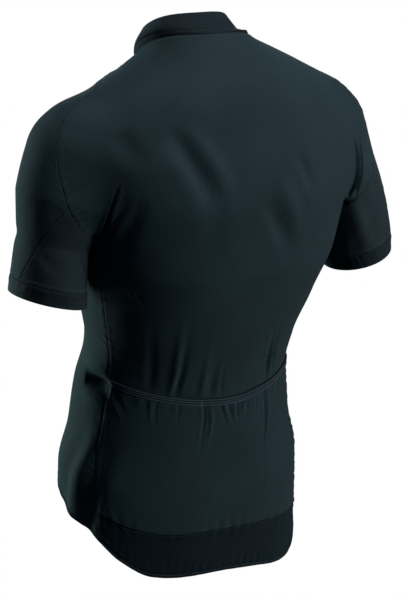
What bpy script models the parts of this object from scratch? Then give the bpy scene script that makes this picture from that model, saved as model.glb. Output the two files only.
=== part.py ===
"""Short-sleeved cycling jersey, hollow and filled out on a general upper body.

Frame: +Z up, +X the wearer's left, -Y the front, origin level with the neck seam
at the shoulders.  All sizes are in metres.  Every cut piece is a thin closed wall
on one body form: rows of rounded sections for the trunk, an ellipse along an axis
for each sleeve.  Seams are curves on that form, and panels are grids between them.
"""
import math

import bmesh
import bpy
import numpy as np
from mathutils import Matrix

# driving sizes
CLOTH = 0.0016            # body knit, drawn as one wall
POCKET_CLOTH = 0.0014
COLLAR_CLOTH = 0.0024     # folded double
CUFF_CLOTH = 0.0020
EDGE_CLOTH = 0.0024       # folded hem edging
EDGE_HEIGHT = 0.005
BAND_HEIGHT = 0.0104      # elastic along the pocket openings
BAND_THICK = 0.0020
SEAM_GAP = 0.0004         # between two pieces that are sewn together
POCKET_LIFT = 0.0006      # of the pocket bag and its elastic over the back
CUFF_START = 0.890        # station of the cuff seam on the sleeve axis
UNDERARM_GAP = 0.0025     # between the sleeve's inner side and the trunk
ZIP_EDGE = 0.0108         # half the gap between the two fronts
TAPE_INNER = 0.0034
TAPE_THICK = 0.0010
COIL_WIDTH = 0.0058
COIL_THICK = 0.0022
SLIDER_WIDTH = 0.0086
SLIDER_LENGTH = 0.0130
SLIDER_THICK = 0.0016
EAR_THICK = 0.0014           # the two ears that hold the pull tab
EAR_LENGTH = 0.0042
EAR_GAP = 0.0026
PIN_HEIGHT = 0.0018          # of the tab's axis over the slider's face
TAB_LENGTH = 0.0240
TAB_WIDTH = 0.0052
TAB_THICK = 0.0012
TAB_KNUCKLE = 0.0012         # radius of the tab's rolled end
BOX_HEIGHT = 0.0070          # bottom box of the zip
BOX_THICK = 0.0030

# trunk: level, half width on the left and on the right, back, front, squareness
# of the section
BODY_ROWS = (
    (0.020, 0.063, 0.040, 0.0213, -0.089, 2.00),
    (0.000, 0.073, 0.065, 0.0475, -0.085, 2.00),
    (-0.015, 0.088, 0.094, 0.067, -0.080, 2.00),
    (-0.030, 0.121, 0.124, 0.087, -0.077, 2.00),
    (-0.050, 0.157, 0.157, 0.101, -0.088, 2.05),
    (-0.080, 0.184, 0.184, 0.114, -0.103, 2.15),
    (-0.120, 0.192, 0.192, 0.129, -0.111, 2.25),
    (-0.180, 0.187, 0.187, 0.140, -0.116, 2.30),
    (-0.250, 0.175, 0.175, 0.140, -0.116, 2.30),
    (-0.320, 0.159, 0.159, 0.118, -0.109, 2.25),
    (-0.390, 0.145, 0.145, 0.093, -0.108, 2.20),
    (-0.450, 0.149, 0.149, 0.076, -0.119, 2.20),
    (-0.510, 0.155, 0.155, 0.081, -0.122, 2.25),
    (-0.570, 0.169, 0.169, 0.089, -0.124, 2.30),
    (-0.630, 0.169, 0.169, 0.095, -0.119, 2.35),
    (-0.700, 0.170, 0.170, 0.104, -0.111, 2.40),
    (-0.740, 0.170, 0.170, 0.106, -0.109, 2.40),
)

# sleeve axes: side, shoulder point, cuff point, bow of the axis
SLEEVE_AXES = {
    "left": ((0.178, -0.007, -0.126), (0.223, 0.012, -0.298), (0.0074, -0.0009, 0.0022)),
    "right": ((-0.174, -0.003, -0.131), (-0.233, 0.031, -0.305), (-0.0069, 0.0004, 0.0023)),
}

# sleeves: station, then across and deep radius of the left and of the right one
SLEEVE_ROWS = (
    (0.00, 0.063, 0.062, 0.062, 0.063),
    (0.30, 0.058, 0.062, 0.054, 0.061),
    (0.60, 0.044, 0.052, 0.051, 0.056),
    (0.85, 0.044, 0.055, 0.049, 0.057),
    (1.00, 0.047, 0.055, 0.044, 0.056),
    (1.15, 0.050, 0.058, 0.048, 0.060),
)

# rings of the collar, seam first: half width on the left and on the right, half
# depth, centre (x, y), back level, drop to the front, rise on the left and right
COLLAR_RINGS = (
    (0.0738, 0.0700, 0.0636, 0.0000, -0.0387, 0.0174, 0.0921, 0.0194, 0.0140),
    (0.0750, 0.0515, 0.0623, 0.0021, -0.0414, 0.0217, 0.0920, 0.0230, 0.0107),
    (0.0551, 0.0524, 0.0571, 0.0114, -0.0530, 0.0400, 0.0920, 0.0176, 0.0065),
)

# side seams on the trunk: level, angle of the back one, angle of the front one
# (degrees round the section from the wearer's left side, back positive)
SIDE_SEAMS = (
    (-0.226, 10.0, -25.0),
    (-0.300, 11.0, -31.0),
    (-0.384, 13.0, -36.0),
    (-0.450, 17.0, -39.0),
    (-0.520, 16.0, -40.0),
    (-0.600, 19.0, -40.0),
    (-0.720, 20.0, -40.0),
)

# top of the pockets, seam above the back hem band: angle, level
POCKET_TOP = (
    (17.0, -0.423), (38.0, -0.436), (72.0, -0.451), (108.0, -0.457), (130.0, -0.452), (163.0, -0.437),
)
BAND_SEAM = (
    (19.0, -0.599), (35.0, -0.617), (54.0, -0.628), (81.0, -0.632), (121.0, -0.640), (161.0, -0.654),
)
HEM = (
    (-90.0, -0.596), (-45.0, -0.597), (-16.0, -0.603), (2.0, -0.619), (18.0, -0.636), (29.0, -0.662),
    (44.0, -0.684), (62.0, -0.690), (90.0, -0.693), (119.0, -0.702), (144.0, -0.713), (155.0, -0.705),
    (165.0, -0.680), (180.0, -0.650), (196.0, -0.626), (225.0, -0.606), (270.0, -0.596),
)

# armhole from the underarm up the back to the shoulder, then on down the front;
# the right one mirrors these guides, and each is drawn onto its own form
ARMHOLE_BACK = (
    (0.182, 0.046, -0.226), (0.191, 0.057, -0.211), (0.203, 0.059, -0.198), (0.212, 0.058, -0.186),
    (0.221, 0.054, -0.169), (0.225, 0.047, -0.150), (0.227, 0.037, -0.128), (0.225, 0.029, -0.106),
    (0.218, 0.019, -0.085), (0.205, 0.010, -0.070), (0.179, -0.003, -0.056), (0.148, -0.019, -0.048),
    (0.128, -0.040, -0.052),
)
ARMHOLE_FRONT = (
    (0.128, -0.040, -0.052), (0.150, -0.062, -0.080), (0.172, -0.070, -0.110), (0.187, -0.070, -0.142),
    (0.193, -0.065, -0.172), (0.189, -0.058, -0.198), (0.174, -0.045, -0.222),
)
UNDERARM = ((0.182, 0.046, -0.226), (0.183, 0.005, -0.233), (0.174, -0.045, -0.222))

# seams between the upper and the under sleeve: station, degrees round the sleeve
# from its outer side towards the back
SLEEVE_SEAM_BACK = ((0.35, 64.0), (0.45, 54.0), (0.57, 43.0), (0.68, 33.0), (0.79, 20.0), (0.89, 8.0))
SLEEVE_SEAM_FRONT = ((0.40, -95.0), (0.62, -96.0), (0.89, -97.0))

NECK_SHOULDER_ANGLE = -25.0   # where the shoulder seam meets the neck seam

# numbers of grid steps
STEPS_BAND = 3
STEPS_POCKET = 7
STEPS_SIDE = 9
STEPS_WHOLE_SIDE = STEPS_BAND + STEPS_POCKET + STEPS_SIDE
STEPS_ARMHOLE = 12
STEPS_BELOW_BACK_SEAM = 3     # armhole steps that belong to the under sleeve
STEPS_BELOW_FRONT_SEAM = 3
STEPS_CAP_SIDE = 4            # armhole steps on the long edges of the upper sleeve
STEPS_UNDERARM = 6
STEPS_SHOULDER = 3
STEPS_FRONT_NECK = 5
STEPS_BACK_NECK = 12
BACK_COLUMNS = STEPS_BACK_NECK + 2 * STEPS_SHOULDER
STEPS_SLEEVE = 6
STEPS_ZIP = 24

COLOURS = {
    "knit": ((0.022, 0.033, 0.038), 0.85),
    "smooth": ((0.016, 0.028, 0.032), 0.60),
    "rib": ((0.010, 0.018, 0.024), 0.80),
    "zip": ((0.012, 0.012, 0.014), 0.40),
    "metal": ((0.030, 0.030, 0.033), 0.30),
}


def unit(vectors):
    return vectors / np.maximum(np.linalg.norm(vectors, axis=-1, keepdims=True), 1e-12)


def smooth_column(xs, ys, at):
    """Monotone cubic through (xs, ys), so a section table gives no ripples."""
    steps = np.diff(xs)
    slopes = np.diff(ys) / steps
    tangents = np.zeros(len(xs))
    tangents[0], tangents[-1] = slopes[0], slopes[-1]
    for i in range(1, len(xs) - 1):
        if slopes[i - 1] * slopes[i] > 0:
            w1 = 2 * steps[i] + steps[i - 1]
            w2 = steps[i] + 2 * steps[i - 1]
            tangents[i] = (w1 + w2) / (w1 / slopes[i - 1] + w2 / slopes[i])
    i = np.clip(np.searchsorted(xs, at) - 1, 0, len(xs) - 2)
    t = np.clip((at - xs[i]) / steps[i], 0, 1)
    return ((1 + 2 * t) * (1 - t) ** 2 * ys[i] + t * (1 - t) ** 2 * steps[i] * tangents[i]
            + t * t * (3 - 2 * t) * ys[i + 1] + t * t * (t - 1) * steps[i] * tangents[i + 1])


def table(rows, at):
    """Columns of a table of rows at the given values of its first column."""
    data = np.array(sorted(rows))
    at = np.asarray(at, float)
    return [smooth_column(data[:, 0], data[:, i], at) for i in range(1, data.shape[1])]


def section(level, x):
    """Half width on the side of x, half depth, middle and squareness at a level."""
    left, right, back, front, squareness = table(BODY_ROWS, level)
    return np.where(np.asarray(x) > 0, left, right), (back - front) / 2, (back + front) / 2, squareness


def girth_point(angle, level):
    """The point of the trunk at an angle (degrees) round its section."""
    angle, level = np.radians(np.asarray(angle, float)), np.asarray(level, float)
    c, s = np.cos(angle), np.sin(angle)
    half_width, half_depth, middle, n = section(level, c)
    reach = ((np.abs(c) / half_width) ** n + (np.abs(s) / half_depth) ** n) ** (-1 / n)
    return np.stack([reach * c, middle + reach * s, level * np.ones_like(c)], -1)


def trunk_distance(p):
    """Signed distance to the trunk, near enough for drawing points onto it."""
    def radial(level):
        half_width, half_depth, middle, n = section(level, p[..., 0])
        x, y = p[..., 0], p[..., 1] - middle
        k = ((np.abs(x) / half_width) ** n + (np.abs(y) / half_depth) ** n) ** (1 / n)
        r = np.hypot(x, y)
        return r - r / np.maximum(k, 1e-6)

    step = 0.002
    slope = (radial(p[..., 2] + step) - radial(p[..., 2] - step)) / (2 * step)
    return radial(p[..., 2]) / np.sqrt(1 + slope ** 2)


def sleeve_frame(side, station):
    """Axis point, outward and backward directions and both radii at a station."""
    start, end, bow = (np.array(v) for v in SLEEVE_AXES[side])
    station = np.asarray(station, float)
    axis = end - start
    along = axis / np.linalg.norm(axis)
    back = unit(np.array([0.0, 1.0, 0.0]) - along[1] * along)
    out = np.cross(along, back) * (1 if side == "left" else -1)
    centre = start + station[..., None] * axis + (4 * station * (1 - station))[..., None] * bow
    columns = [np.array(c) for c in zip(*SLEEVE_ROWS)]
    first = 1 if side == "left" else 3
    across, deep = (np.interp(station, columns[0], columns[first + i]) for i in (0, 1))
    return centre, out, back, across, deep


def sleeve_point(side, station, angle):
    centre, out, back, across, deep = sleeve_frame(side, station)
    angle = np.radians(np.asarray(angle, float))
    c, s = np.cos(angle), np.sin(angle)
    reach = 1 / np.sqrt((c / across) ** 2 + (s / deep) ** 2)
    return centre + (reach * c)[..., None] * out + (reach * s)[..., None] * back


def sleeve_distance(p, side):
    start, end, _ = (np.array(v) for v in SLEEVE_AXES[side])
    axis = end - start
    station = np.clip((p - start) @ axis / (axis @ axis), 0, 1.15)
    centre, out, back, across, deep = sleeve_frame(side, station)
    v = p - centre
    before = np.minimum(v @ (axis / np.linalg.norm(axis)), 0)
    r = np.sqrt((v @ out) ** 2 + (v @ back) ** 2 + before ** 2)
    k = np.sqrt((v @ out / across) ** 2 + (v @ back / deep) ** 2 + (before / across) ** 2)
    return r - r / np.maximum(k, 1e-6)


def ramp(value, low, high):
    t = np.clip((value - low) / (high - low), 0, 1)
    return t * t * (3 - 2 * t)


def blended(own, other, level):
    """Trunk and sleeve flow together above the underarm and part below it."""
    width = 0.008 + 0.027 * ramp(level, -0.222, -0.175)
    other = other + 0.07 * ramp(-level, 0.205, 0.245)
    h = np.maximum(width - np.abs(own - other), 0) / width
    return np.minimum(own, other) - h * h * width / 4


def body_form(p):
    d = trunk_distance(p)
    for side in ("left", "right"):
        d = blended(d, sleeve_distance(p, side), p[..., 2])
    return d


def sleeve_form(side):
    def distance(p):
        return blended(sleeve_distance(p, side), trunk_distance(p), p[..., 2])
    return distance


def gradient(form, p):
    step = 0.0008
    g = np.stack([form(p + step * e) - form(p - step * e) for e in np.eye(3)], -1)
    return unit(g)


def drawn_onto(form, p, rounds=8):
    p = np.array(p, float)
    for _ in range(rounds):
        p = p - form(p)[..., None] * gradient(form, p)
    return p


def pushed_off_trunk(p, gap):
    """Moves points of a sleeve that would be inside the trunk to a gap outside it."""
    for _ in range(6):
        short = np.maximum(gap - trunk_distance(p), 0) * ramp(-p[..., 2], 0.200, 0.215)
        p = p + short[..., None] * gradient(trunk_distance, p)
    return p


def curve_through(points, steps):
    """Evenly spaced points on a smooth curve through the guide points."""
    points = np.array(points, float)
    ends = np.vstack([2 * points[0] - points[1], points, 2 * points[-1] - points[-2]])
    fine = []
    for a, b, c, d in zip(ends, ends[1:], ends[2:], ends[3:]):
        for t in np.linspace(0, 1, 24, endpoint=False):
            fine.append(0.5 * (2 * b + (c - a) * t + (2 * a - 5 * b + 4 * c - d) * t ** 2
                               + (3 * b - a - 3 * c + d) * t ** 3))
    fine = np.array(fine + [points[-1]])
    run = np.concatenate([[0], np.cumsum(np.linalg.norm(np.diff(fine, axis=0), axis=1))])
    at = np.linspace(0, run[-1], steps + 1)
    return np.stack([np.interp(at, run, fine[:, i]) for i in range(3)], 1)


def coons(bottom, top, left, right):
    """Grid between four curves, rows from bottom to top, columns left to right."""
    rows, columns = len(left), len(bottom)
    v = np.linspace(0, 1, rows)[:, None, None]
    u = np.linspace(0, 1, columns)[None, :, None]
    corners = ((1 - u) * (1 - v) * bottom[0] + u * (1 - v) * bottom[-1]
               + (1 - u) * v * top[0] + u * v * top[-1])
    return ((1 - v) * bottom[None] + v * top[None] + (1 - u) * left[:, None] + u * right[:, None]
            - corners)


def panel(bottom, top, left, right, form, rounds=60, keep_off=None):
    """Grid between four seams, evened out and drawn onto the form inside them."""
    grid = coons(bottom, top, left, right)
    grid[0], grid[-1], grid[:, 0], grid[:, -1] = bottom, top, left, right
    for turn in range(rounds):
        inner = grid[1:-1, 1:-1]
        even = (grid[:-2, 1:-1] + grid[2:, 1:-1] + grid[1:-1, :-2] + grid[1:-1, 2:]) / 4
        inner = inner + 0.7 * (even - inner)
        inner = drawn_onto(form, inner, 2)
        if keep_off:
            inner = pushed_off_trunk(inner, keep_off)
        grid[1:-1, 1:-1] = inner
    return grid


def grid_normals(grid, closed=False):
    """Outward normals of a grid from its own rows and columns."""
    if closed:
        across = np.roll(grid, -1, 1) - np.roll(grid, 1, 1)
    else:
        across = np.gradient(grid, axis=1)
    up = np.gradient(grid, axis=0)
    return unit(np.cross(across, up))


def trimmed(grid, normals, gap, closed=False):
    """Draws the outer edges of a grid in by half a seam gap."""
    out = grid.copy()
    last_row, last_column = grid.shape[0] - 1, grid.shape[1] - 1
    edges = [(0, slice(None), 1), (last_row, slice(None), -1)]
    for row, columns, way in edges:
        along = np.gradient(grid[row], axis=0)
        if closed:
            along = np.roll(grid[row], -1, 0) - np.roll(grid[row], 1, 0)
        out[row, columns] += way * gap * unit(np.cross(normals[row], along))
    if not closed:
        for column, way in ((0, 1), (last_column, -1)):
            along = np.gradient(grid[:, column], axis=0)
            out[:, column] += way * gap * unit(np.cross(along, normals[:, column]))
    return out


def material(kind):
    name = "jersey_" + kind
    found = bpy.data.materials.get(name)
    if found:
        return found
    (red, green, blue), roughness = COLOURS[kind]
    made = bpy.data.materials.new(name)
    made.use_nodes = True
    shader = made.node_tree.nodes["Principled BSDF"]
    shader.inputs["Base Color"].default_value = (red, green, blue, 1)
    shader.inputs["Roughness"].default_value = roughness
    shader.inputs["Metallic"].default_value = 0.6 if kind == "metal" else 0.0
    return made


def add_object(name, points, faces, kind):
    mesh = bpy.data.meshes.new(name)
    mesh.from_pydata([tuple(p) for p in points], [], faces)
    mesh.validate()
    mesh.materials.append(material(kind))
    mesh.shade_smooth()
    mesh.set_sharp_from_angle(angle=math.radians(40))
    thing = bpy.data.objects.new(name, mesh)
    bpy.context.collection.objects.link(thing)
    return thing


def wall(name, grid, thickness, kind, normals=None, lift=0.0, closed=False, gap=SEAM_GAP / 2):
    """A closed wall whose outer face is the grid moved out by lift + thickness."""
    if normals is None:
        normals = grid_normals(grid, closed)
    base = trimmed(grid, normals, gap, closed)
    rows, columns = grid.shape[:2]
    outer = (base + normals * (lift + thickness)).reshape(-1, 3)
    inner = (base + normals * lift).reshape(-1, 3)
    count = rows * columns
    spans = columns if closed else columns - 1
    faces = []

    def at(row, column):
        return row * columns + column % columns

    for r in range(rows - 1):
        for c in range(spans):
            a, b, d, e = at(r, c), at(r, c + 1), at(r + 1, c + 1), at(r + 1, c)
            faces += [(a, b, d), (a, d, e)]
            faces += [(count + a, count + d, count + b), (count + a, count + e, count + d)]
    for c in range(spans):
        a, b = at(0, c), at(0, c + 1)
        faces += [(a, count + a, count + b), (a, count + b, b)]
        a, b = at(rows - 1, c), at(rows - 1, c + 1)
        faces += [(a, b, count + b), (a, count + b, count + a)]
    if not closed:
        for r in range(rows - 1):
            a, b = at(r, 0), at(r + 1, 0)
            faces += [(a, b, count + b), (a, count + b, count + a)]
            a, b = at(r, columns - 1), at(r + 1, columns - 1)
            faces += [(a, count + a, count + b), (a, count + b, b)]
    return add_object(name, np.vstack([outer, inner]), faces, kind)


def angle_of(point):
    """Angle of a trunk point round its section, from -90 at the front to 270."""
    middle = float(section(point[2], 0)[2])
    angle = math.degrees(math.atan2(point[1] - middle, point[0]))
    return angle if angle >= -90 else angle + 360


def collar_point(ring, angle):
    """Points of one ring of the collar, at angles from the wearer's left side."""
    left, right, depth, x, y, level, drop, rise_left, rise_right = COLLAR_RINGS[ring]
    c, s = np.cos(np.radians(angle)), np.sin(np.radians(angle))
    half_width, rise = np.where(c > 0, left, right), np.where(c > 0, rise_left, rise_right)
    return np.stack([x * np.clip(1 + s, 0, 1) + half_width * c, y + depth * s,
                     level - drop * (1 - s) / 2 + rise * c * c], -1)


def front_angle(ring, x):
    """Angle of the ring's point in front at a given x."""
    return -math.degrees(math.acos(x / COLLAR_RINGS[ring][0 if x > 0 else 1]))


def collar_angles(ring):
    """Angles of the neck columns, from the left front edge to the right one."""
    side, other = NECK_SHOULDER_ANGLE, 180 - NECK_SHOULDER_ANGLE
    return np.concatenate([
        np.linspace(front_angle(ring, ZIP_EDGE), side, STEPS_FRONT_NECK + 1)[:-1],
        np.linspace(side, other, STEPS_BACK_NECK + 1),
        np.linspace(other, 360 + front_angle(ring, -ZIP_EDGE), STEPS_FRONT_NECK + 1)[1:]])


def neck_seam():
    ring = drawn_onto(body_form, collar_point(0, collar_angles(0)))
    ring[[0, -1], 0] = ZIP_EDGE, -ZIP_EDGE
    return ring


def front_edge(x, low, high, steps):
    """Line up the front of the trunk at a given x, from one level to another."""
    levels = np.linspace(low, high, steps + 1)
    half_width, half_depth, middle, n = section(levels, x)
    depth = half_depth * (1 - (abs(x) / half_width) ** n) ** (1 / n)
    return np.stack([np.full(steps + 1, x), middle - depth, levels], 1)


def side_seams(side, neck):
    """All seam lines of one side of the jersey, each sampled once."""
    left = side == "left"

    def turned(angle):
        return angle if left else 180 - angle

    def guided(rows, steps):
        guides = np.array(rows) * (1 if left else np.array([-1, 1, 1]))
        return drawn_onto(body_form, curve_through(guides, steps))

    def level_on(rows, column):
        level = -0.6
        for _ in range(6):
            seam_angle = turned(table(SIDE_SEAMS, level)[column])
            level = float(table(rows, seam_angle)[0])
        return level

    def down_side(column, low, high, steps, top=None):
        levels = np.linspace(low, high, 12)
        points = girth_point(turned(table(SIDE_SEAMS, levels)[column]), levels)
        if top is not None:
            points = np.vstack([points[:-1], top])
        return curve_through(points, steps)

    seams = {
        "armhole_back": guided(ARMHOLE_BACK, STEPS_ARMHOLE),
        "armhole_front": guided(ARMHOLE_FRONT, STEPS_ARMHOLE),
        "underarm": guided(UNDERARM, STEPS_UNDERARM),
    }
    seams["armhole_front"][0] = seams["armhole_back"][-1]
    seams["underarm"][0] = seams["armhole_back"][0]
    seams["underarm"][-1] = seams["armhole_front"][-1]

    neck_end = neck[STEPS_FRONT_NECK if left else -1 - STEPS_FRONT_NECK]
    seams["shoulder"] = guided_between(seams["armhole_back"][-1], neck_end, STEPS_SHOULDER)

    hem_back, hem_front = (level_on(HEM, column) + EDGE_HEIGHT for column in (0, 1))
    band, pocket = level_on(BAND_SEAM, 0), level_on(POCKET_TOP, 0)
    underarm_level = UNDERARM[0][2]
    pieces = (down_side(0, hem_back, band, STEPS_BAND),
              down_side(0, band, pocket, STEPS_POCKET),
              down_side(0, pocket, underarm_level, STEPS_SIDE, seams["underarm"][0]))
    seams["side_back"] = np.vstack([pieces[0], pieces[1][1:], pieces[2][1:]])
    seams["side_front"] = down_side(1, hem_front, UNDERARM[-1][2], STEPS_WHOLE_SIDE,
                                    seams["underarm"][-1])
    return seams


def guided_between(start, end, steps):
    line = drawn_onto(body_form, np.linspace(start, end, steps + 1))
    line[0], line[-1] = start, end
    return line


def round_trunk(rows, start, end, steps, raised=0.0):
    """Line round the trunk between two points, at the levels of a table."""
    low, high = angle_of(start), angle_of(end)
    angles = np.linspace(low, high, 60)
    levels = table(rows, angles)[0] + raised
    line = curve_through(girth_point(angles, levels), steps)
    line[0], line[-1] = start, end
    return line


def stacked(*grids):
    """Joins grids that share a row, bottom one first."""
    return np.vstack([grids[0]] + [g[1:] for g in grids[1:]])


def trunk_wall(name, grid, thickness=CLOTH, kind="knit", lift=None):
    lift = -thickness if lift is None else lift
    return wall(name, grid, thickness, kind, gradient(body_form, grid), lift)


def make_back(left, right, neck):
    """Back, with the pocket bag and its elastic lying on it, and the hem band."""
    hem_row, band_row = STEPS_BAND, STEPS_BAND + STEPS_POCKET
    sides = [s["side_back"] for s in (left, right)]
    hem = round_trunk(HEM, sides[0][0], sides[1][0], BACK_COLUMNS, EDGE_HEIGHT)
    band_seam = round_trunk(BAND_SEAM, sides[0][hem_row], sides[1][hem_row], BACK_COLUMNS)
    pocket_top = round_trunk(POCKET_TOP, sides[0][band_row], sides[1][band_row], BACK_COLUMNS)
    neck_back = neck[STEPS_FRONT_NECK:-STEPS_FRONT_NECK]
    top = np.vstack([left["shoulder"], neck_back[1:-1], right["shoulder"][::-1]])
    edges = [np.vstack([s["side_back"][band_row:], s["armhole_back"][1:]]) for s in (left, right)]

    band = panel(hem, band_seam, sides[0][:hem_row + 1], sides[1][:hem_row + 1], body_form)
    lower = panel(band_seam, pocket_top, sides[0][hem_row:band_row + 1],
                  sides[1][hem_row:band_row + 1], body_form)
    upper = panel(pocket_top, top, edges[0], edges[1], body_form)
    trunk_wall("back", stacked(lower, upper))
    trunk_wall("hem_band_back", band, kind="rib")

    reach = BAND_HEIGHT / 2
    below = lower[-1] + reach * unit(lower[-2] - lower[-1])
    above = lower[-1] + reach * unit(upper[1] - upper[0])
    bag = np.vstack([lower[:-1], below[None]])
    trunk_wall("pocket_bag", bag, POCKET_CLOTH, "knit", POCKET_LIFT)
    elastic = np.stack([below, lower[-1], above])
    trunk_wall("pocket_elastic", elastic, BAND_THICK, "rib", POCKET_LIFT)
    return hem


def make_side(side, seams):
    """Side panel, from the hem to the underarm."""
    first, last = seams["side_front"], seams["side_back"]
    top = seams["underarm"][::-1]
    if side == "right":
        first, last, top = last, first, top[::-1]
    hem = round_trunk(HEM, first[0], last[0], STEPS_UNDERARM, EDGE_HEIGHT)
    trunk_wall("side_" + side, panel(hem, top, first, last, body_form), kind="smooth")
    return hem


def make_front(side, seams, neck):
    outer = np.vstack([seams["side_front"], seams["armhole_front"][::-1][1:]])
    neck_part = neck[:STEPS_FRONT_NECK + 1] if side == "left" else neck[-1 - STEPS_FRONT_NECK:]
    shoulder = seams["shoulder"][::-1]
    x = ZIP_EDGE if side == "left" else -ZIP_EDGE
    neck_end = neck_part[0] if side == "left" else neck_part[-1]
    low = float(table(HEM, -90)[0]) + EDGE_HEIGHT
    inner = front_edge(x, low, neck_end[2], len(outer) - 1)
    inner[-1] = neck_end
    if side == "left":
        left, right, top = inner, outer, np.vstack([neck_part, shoulder[1:]])
    else:
        left, right, top = outer, inner, np.vstack([shoulder[::-1], neck_part[1:]])
    hem = round_trunk(HEM, left[0], right[0], len(top) - 1, EDGE_HEIGHT)
    trunk_wall("front_" + side, panel(hem, top, left, right, body_form))
    return hem


def make_edging(hems):
    """Folded elastic edging along the whole hem, from zip to zip."""
    top = np.vstack([hems[0]] + [h[1:] for h in hems[1:]])
    bottom = drawn_onto(body_form, top - np.array([0, 0, EDGE_HEIGHT]))
    bottom[[0, -1], 0] = top[[0, -1], 0]
    trunk_wall("hem_edging", np.stack([bottom, top]), EDGE_CLOTH, "rib")


def make_sleeve(side, seams):
    """Upper sleeve, under sleeve and the cuff below them."""
    form = sleeve_form(side)
    back, front = seams["armhole_back"], seams["armhole_front"]
    low, high = STEPS_BELOW_BACK_SEAM, STEPS_ARMHOLE - STEPS_BELOW_FRONT_SEAM
    back_corner, front_corner = low + STEPS_CAP_SIDE, high - STEPS_CAP_SIDE
    cap = np.vstack([front[front_corner::-1], back[:back_corner - 1:-1][1:]])
    under = np.vstack([back[low::-1], seams["underarm"][1:], front[:high - 1:-1][1:]])
    under = pushed_off_trunk(under, SEAM_GAP)

    def seam_line(rows, start):
        stations, angles = (np.array(c) for c in zip(*rows))
        guides = sleeve_point(side, stations, angles)
        guides[0] = start
        line = curve_through(guides[::-1], STEPS_SLEEVE)
        line[1:-1] = drawn_onto(form, line[1:-1])
        return line

    back_seam = seam_line(SLEEVE_SEAM_BACK, back[low])
    front_seam = seam_line(SLEEVE_SEAM_FRONT, front[high])
    back_angle, front_angle = SLEEVE_SEAM_BACK[-1][1], SLEEVE_SEAM_FRONT[-1][1]
    cuff_over = sleeve_point(side, CUFF_START, np.linspace(front_angle, back_angle, len(cap)))
    cuff_under = sleeve_point(side, CUFF_START,
                              np.linspace(back_angle, front_angle + 360, len(under)))
    upper = panel(cuff_over, cap, np.vstack([front_seam, front[front_corner:high][::-1]]),
                  np.vstack([back_seam, back[low + 1:back_corner + 1]]), form)
    lower = panel(cuff_under, under, back_seam, front_seam, form, keep_off=UNDERARM_GAP)
    ring = np.vstack([cuff_over[:-1], cuff_under[:-1]])
    angles = np.concatenate([np.linspace(front_angle, back_angle, len(cap))[:-1],
                             np.linspace(back_angle, front_angle + 360, len(under))[:-1]])
    cuff = np.stack([sleeve_point(side, 1.0, angles), sleeve_point(side, 0.945, angles), ring])
    if side == "right":
        upper, lower, cuff = upper[:, ::-1], lower[:, ::-1], cuff[:, ::-1]
    wall("sleeve_upper_" + side, upper, CLOTH, "knit", gradient(form, upper), -CLOTH)
    wall("sleeve_under_" + side, lower, CLOTH, "smooth", gradient(form, lower), -CLOTH)
    wall("cuff_" + side, cuff, CUFF_CLOTH, "rib", lift=-CUFF_CLOTH, closed=True)


def make_collar(neck):
    rings = [neck] + [collar_point(ring, collar_angles(ring)) for ring in (1, 2)]
    for ring in rings:
        ring[[0, -1], 0] = ZIP_EDGE, -ZIP_EDGE
    grid = np.stack(rings)
    normals = grid_normals(grid)
    normals[0] = gradient(body_form, neck)
    normals[:, [0, -1], 0] = 0
    normals = unit(normals)
    wall("collar", grid, COLLAR_CLOTH, "rib", normals, lift=-COLLAR_CLOTH)


def zip_line(x, low):
    """Points up the front at a given x, from a level near the hem to the collar top."""
    seam_level = float(collar_point(0, -90.0)[2])
    trunk = front_edge(x, low, seam_level, STEPS_ZIP)
    collar = [collar_point(ring, front_angle(ring, x)) for ring in (1, 2)]
    for point in collar:
        point[0] = x
    return np.vstack([trunk, collar])


def make_zip():
    """Tapes, closed coil, bottom box, slider and the pull tab that turns on it."""
    hem = float(table(HEM, -90)[0])
    depth = -CLOTH + SEAM_GAP
    for side, sign in (("left", 1), ("right", -1)):
        lines = [zip_line(sign * x, hem) for x in (TAPE_INNER, ZIP_EDGE)]
        lines = lines[::-1] if side == "right" else lines
        wall("zip_tape_" + side, np.stack(lines, 1), TAPE_THICK, "zip", lift=depth)
    half = COIL_WIDTH / 2
    lines = np.stack([zip_line(x, hem + BOX_HEIGHT + SEAM_GAP) for x in (-half, half)], 1)
    wall("zip_coil", lines, COIL_THICK, "zip", lift=depth)

    box = add_box("zip_box", (COIL_WIDTH, BOX_THICK, BOX_HEIGHT), (0, 0, 0), "metal")
    box.location = zip_line(0.0, hem)[0] + np.array([0, -depth - BOX_THICK / 2, BOX_HEIGHT / 2])

    low, high = zip_line(0.0, hem)[-2:]
    up = unit(high - low)
    out = np.array([0, -up[2], up[1]])
    middle = high - up * (SLIDER_LENGTH / 2)
    face = depth + COIL_THICK + SEAM_GAP + SLIDER_THICK
    tilt = math.atan2(up[1], up[2])
    slider = make_slider()
    slider.location = middle + out * face
    slider.rotation_euler = (-tilt, 0, 0)
    tab = make_tab()
    tab.location = middle + out * (face + PIN_HEIGHT)


def add_box(name, size, centre, kind):
    """Box with small chamfers, built about its own centre."""
    mesh = bmesh.new()
    bmesh.ops.create_cube(mesh, size=1.0)
    bmesh.ops.scale(mesh, vec=size, verts=mesh.verts)
    bmesh.ops.bevel(mesh, geom=mesh.edges[:], offset=0.12 * min(size), segments=1, affect="EDGES")
    bmesh.ops.translate(mesh, vec=centre, verts=mesh.verts)
    return added(name, mesh, kind)


def add_cylinder(name, radius, width, kind, segments=20):
    """Cylinder along X about the origin."""
    mesh = bmesh.new()
    bmesh.ops.create_cone(mesh, cap_ends=True, segments=segments, radius1=radius, radius2=radius,
                          depth=width)
    bmesh.ops.rotate(mesh, cent=(0, 0, 0), matrix=Matrix.Rotation(math.pi / 2, 3, "Y"),
                     verts=mesh.verts)
    return added(name, mesh, kind)


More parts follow.
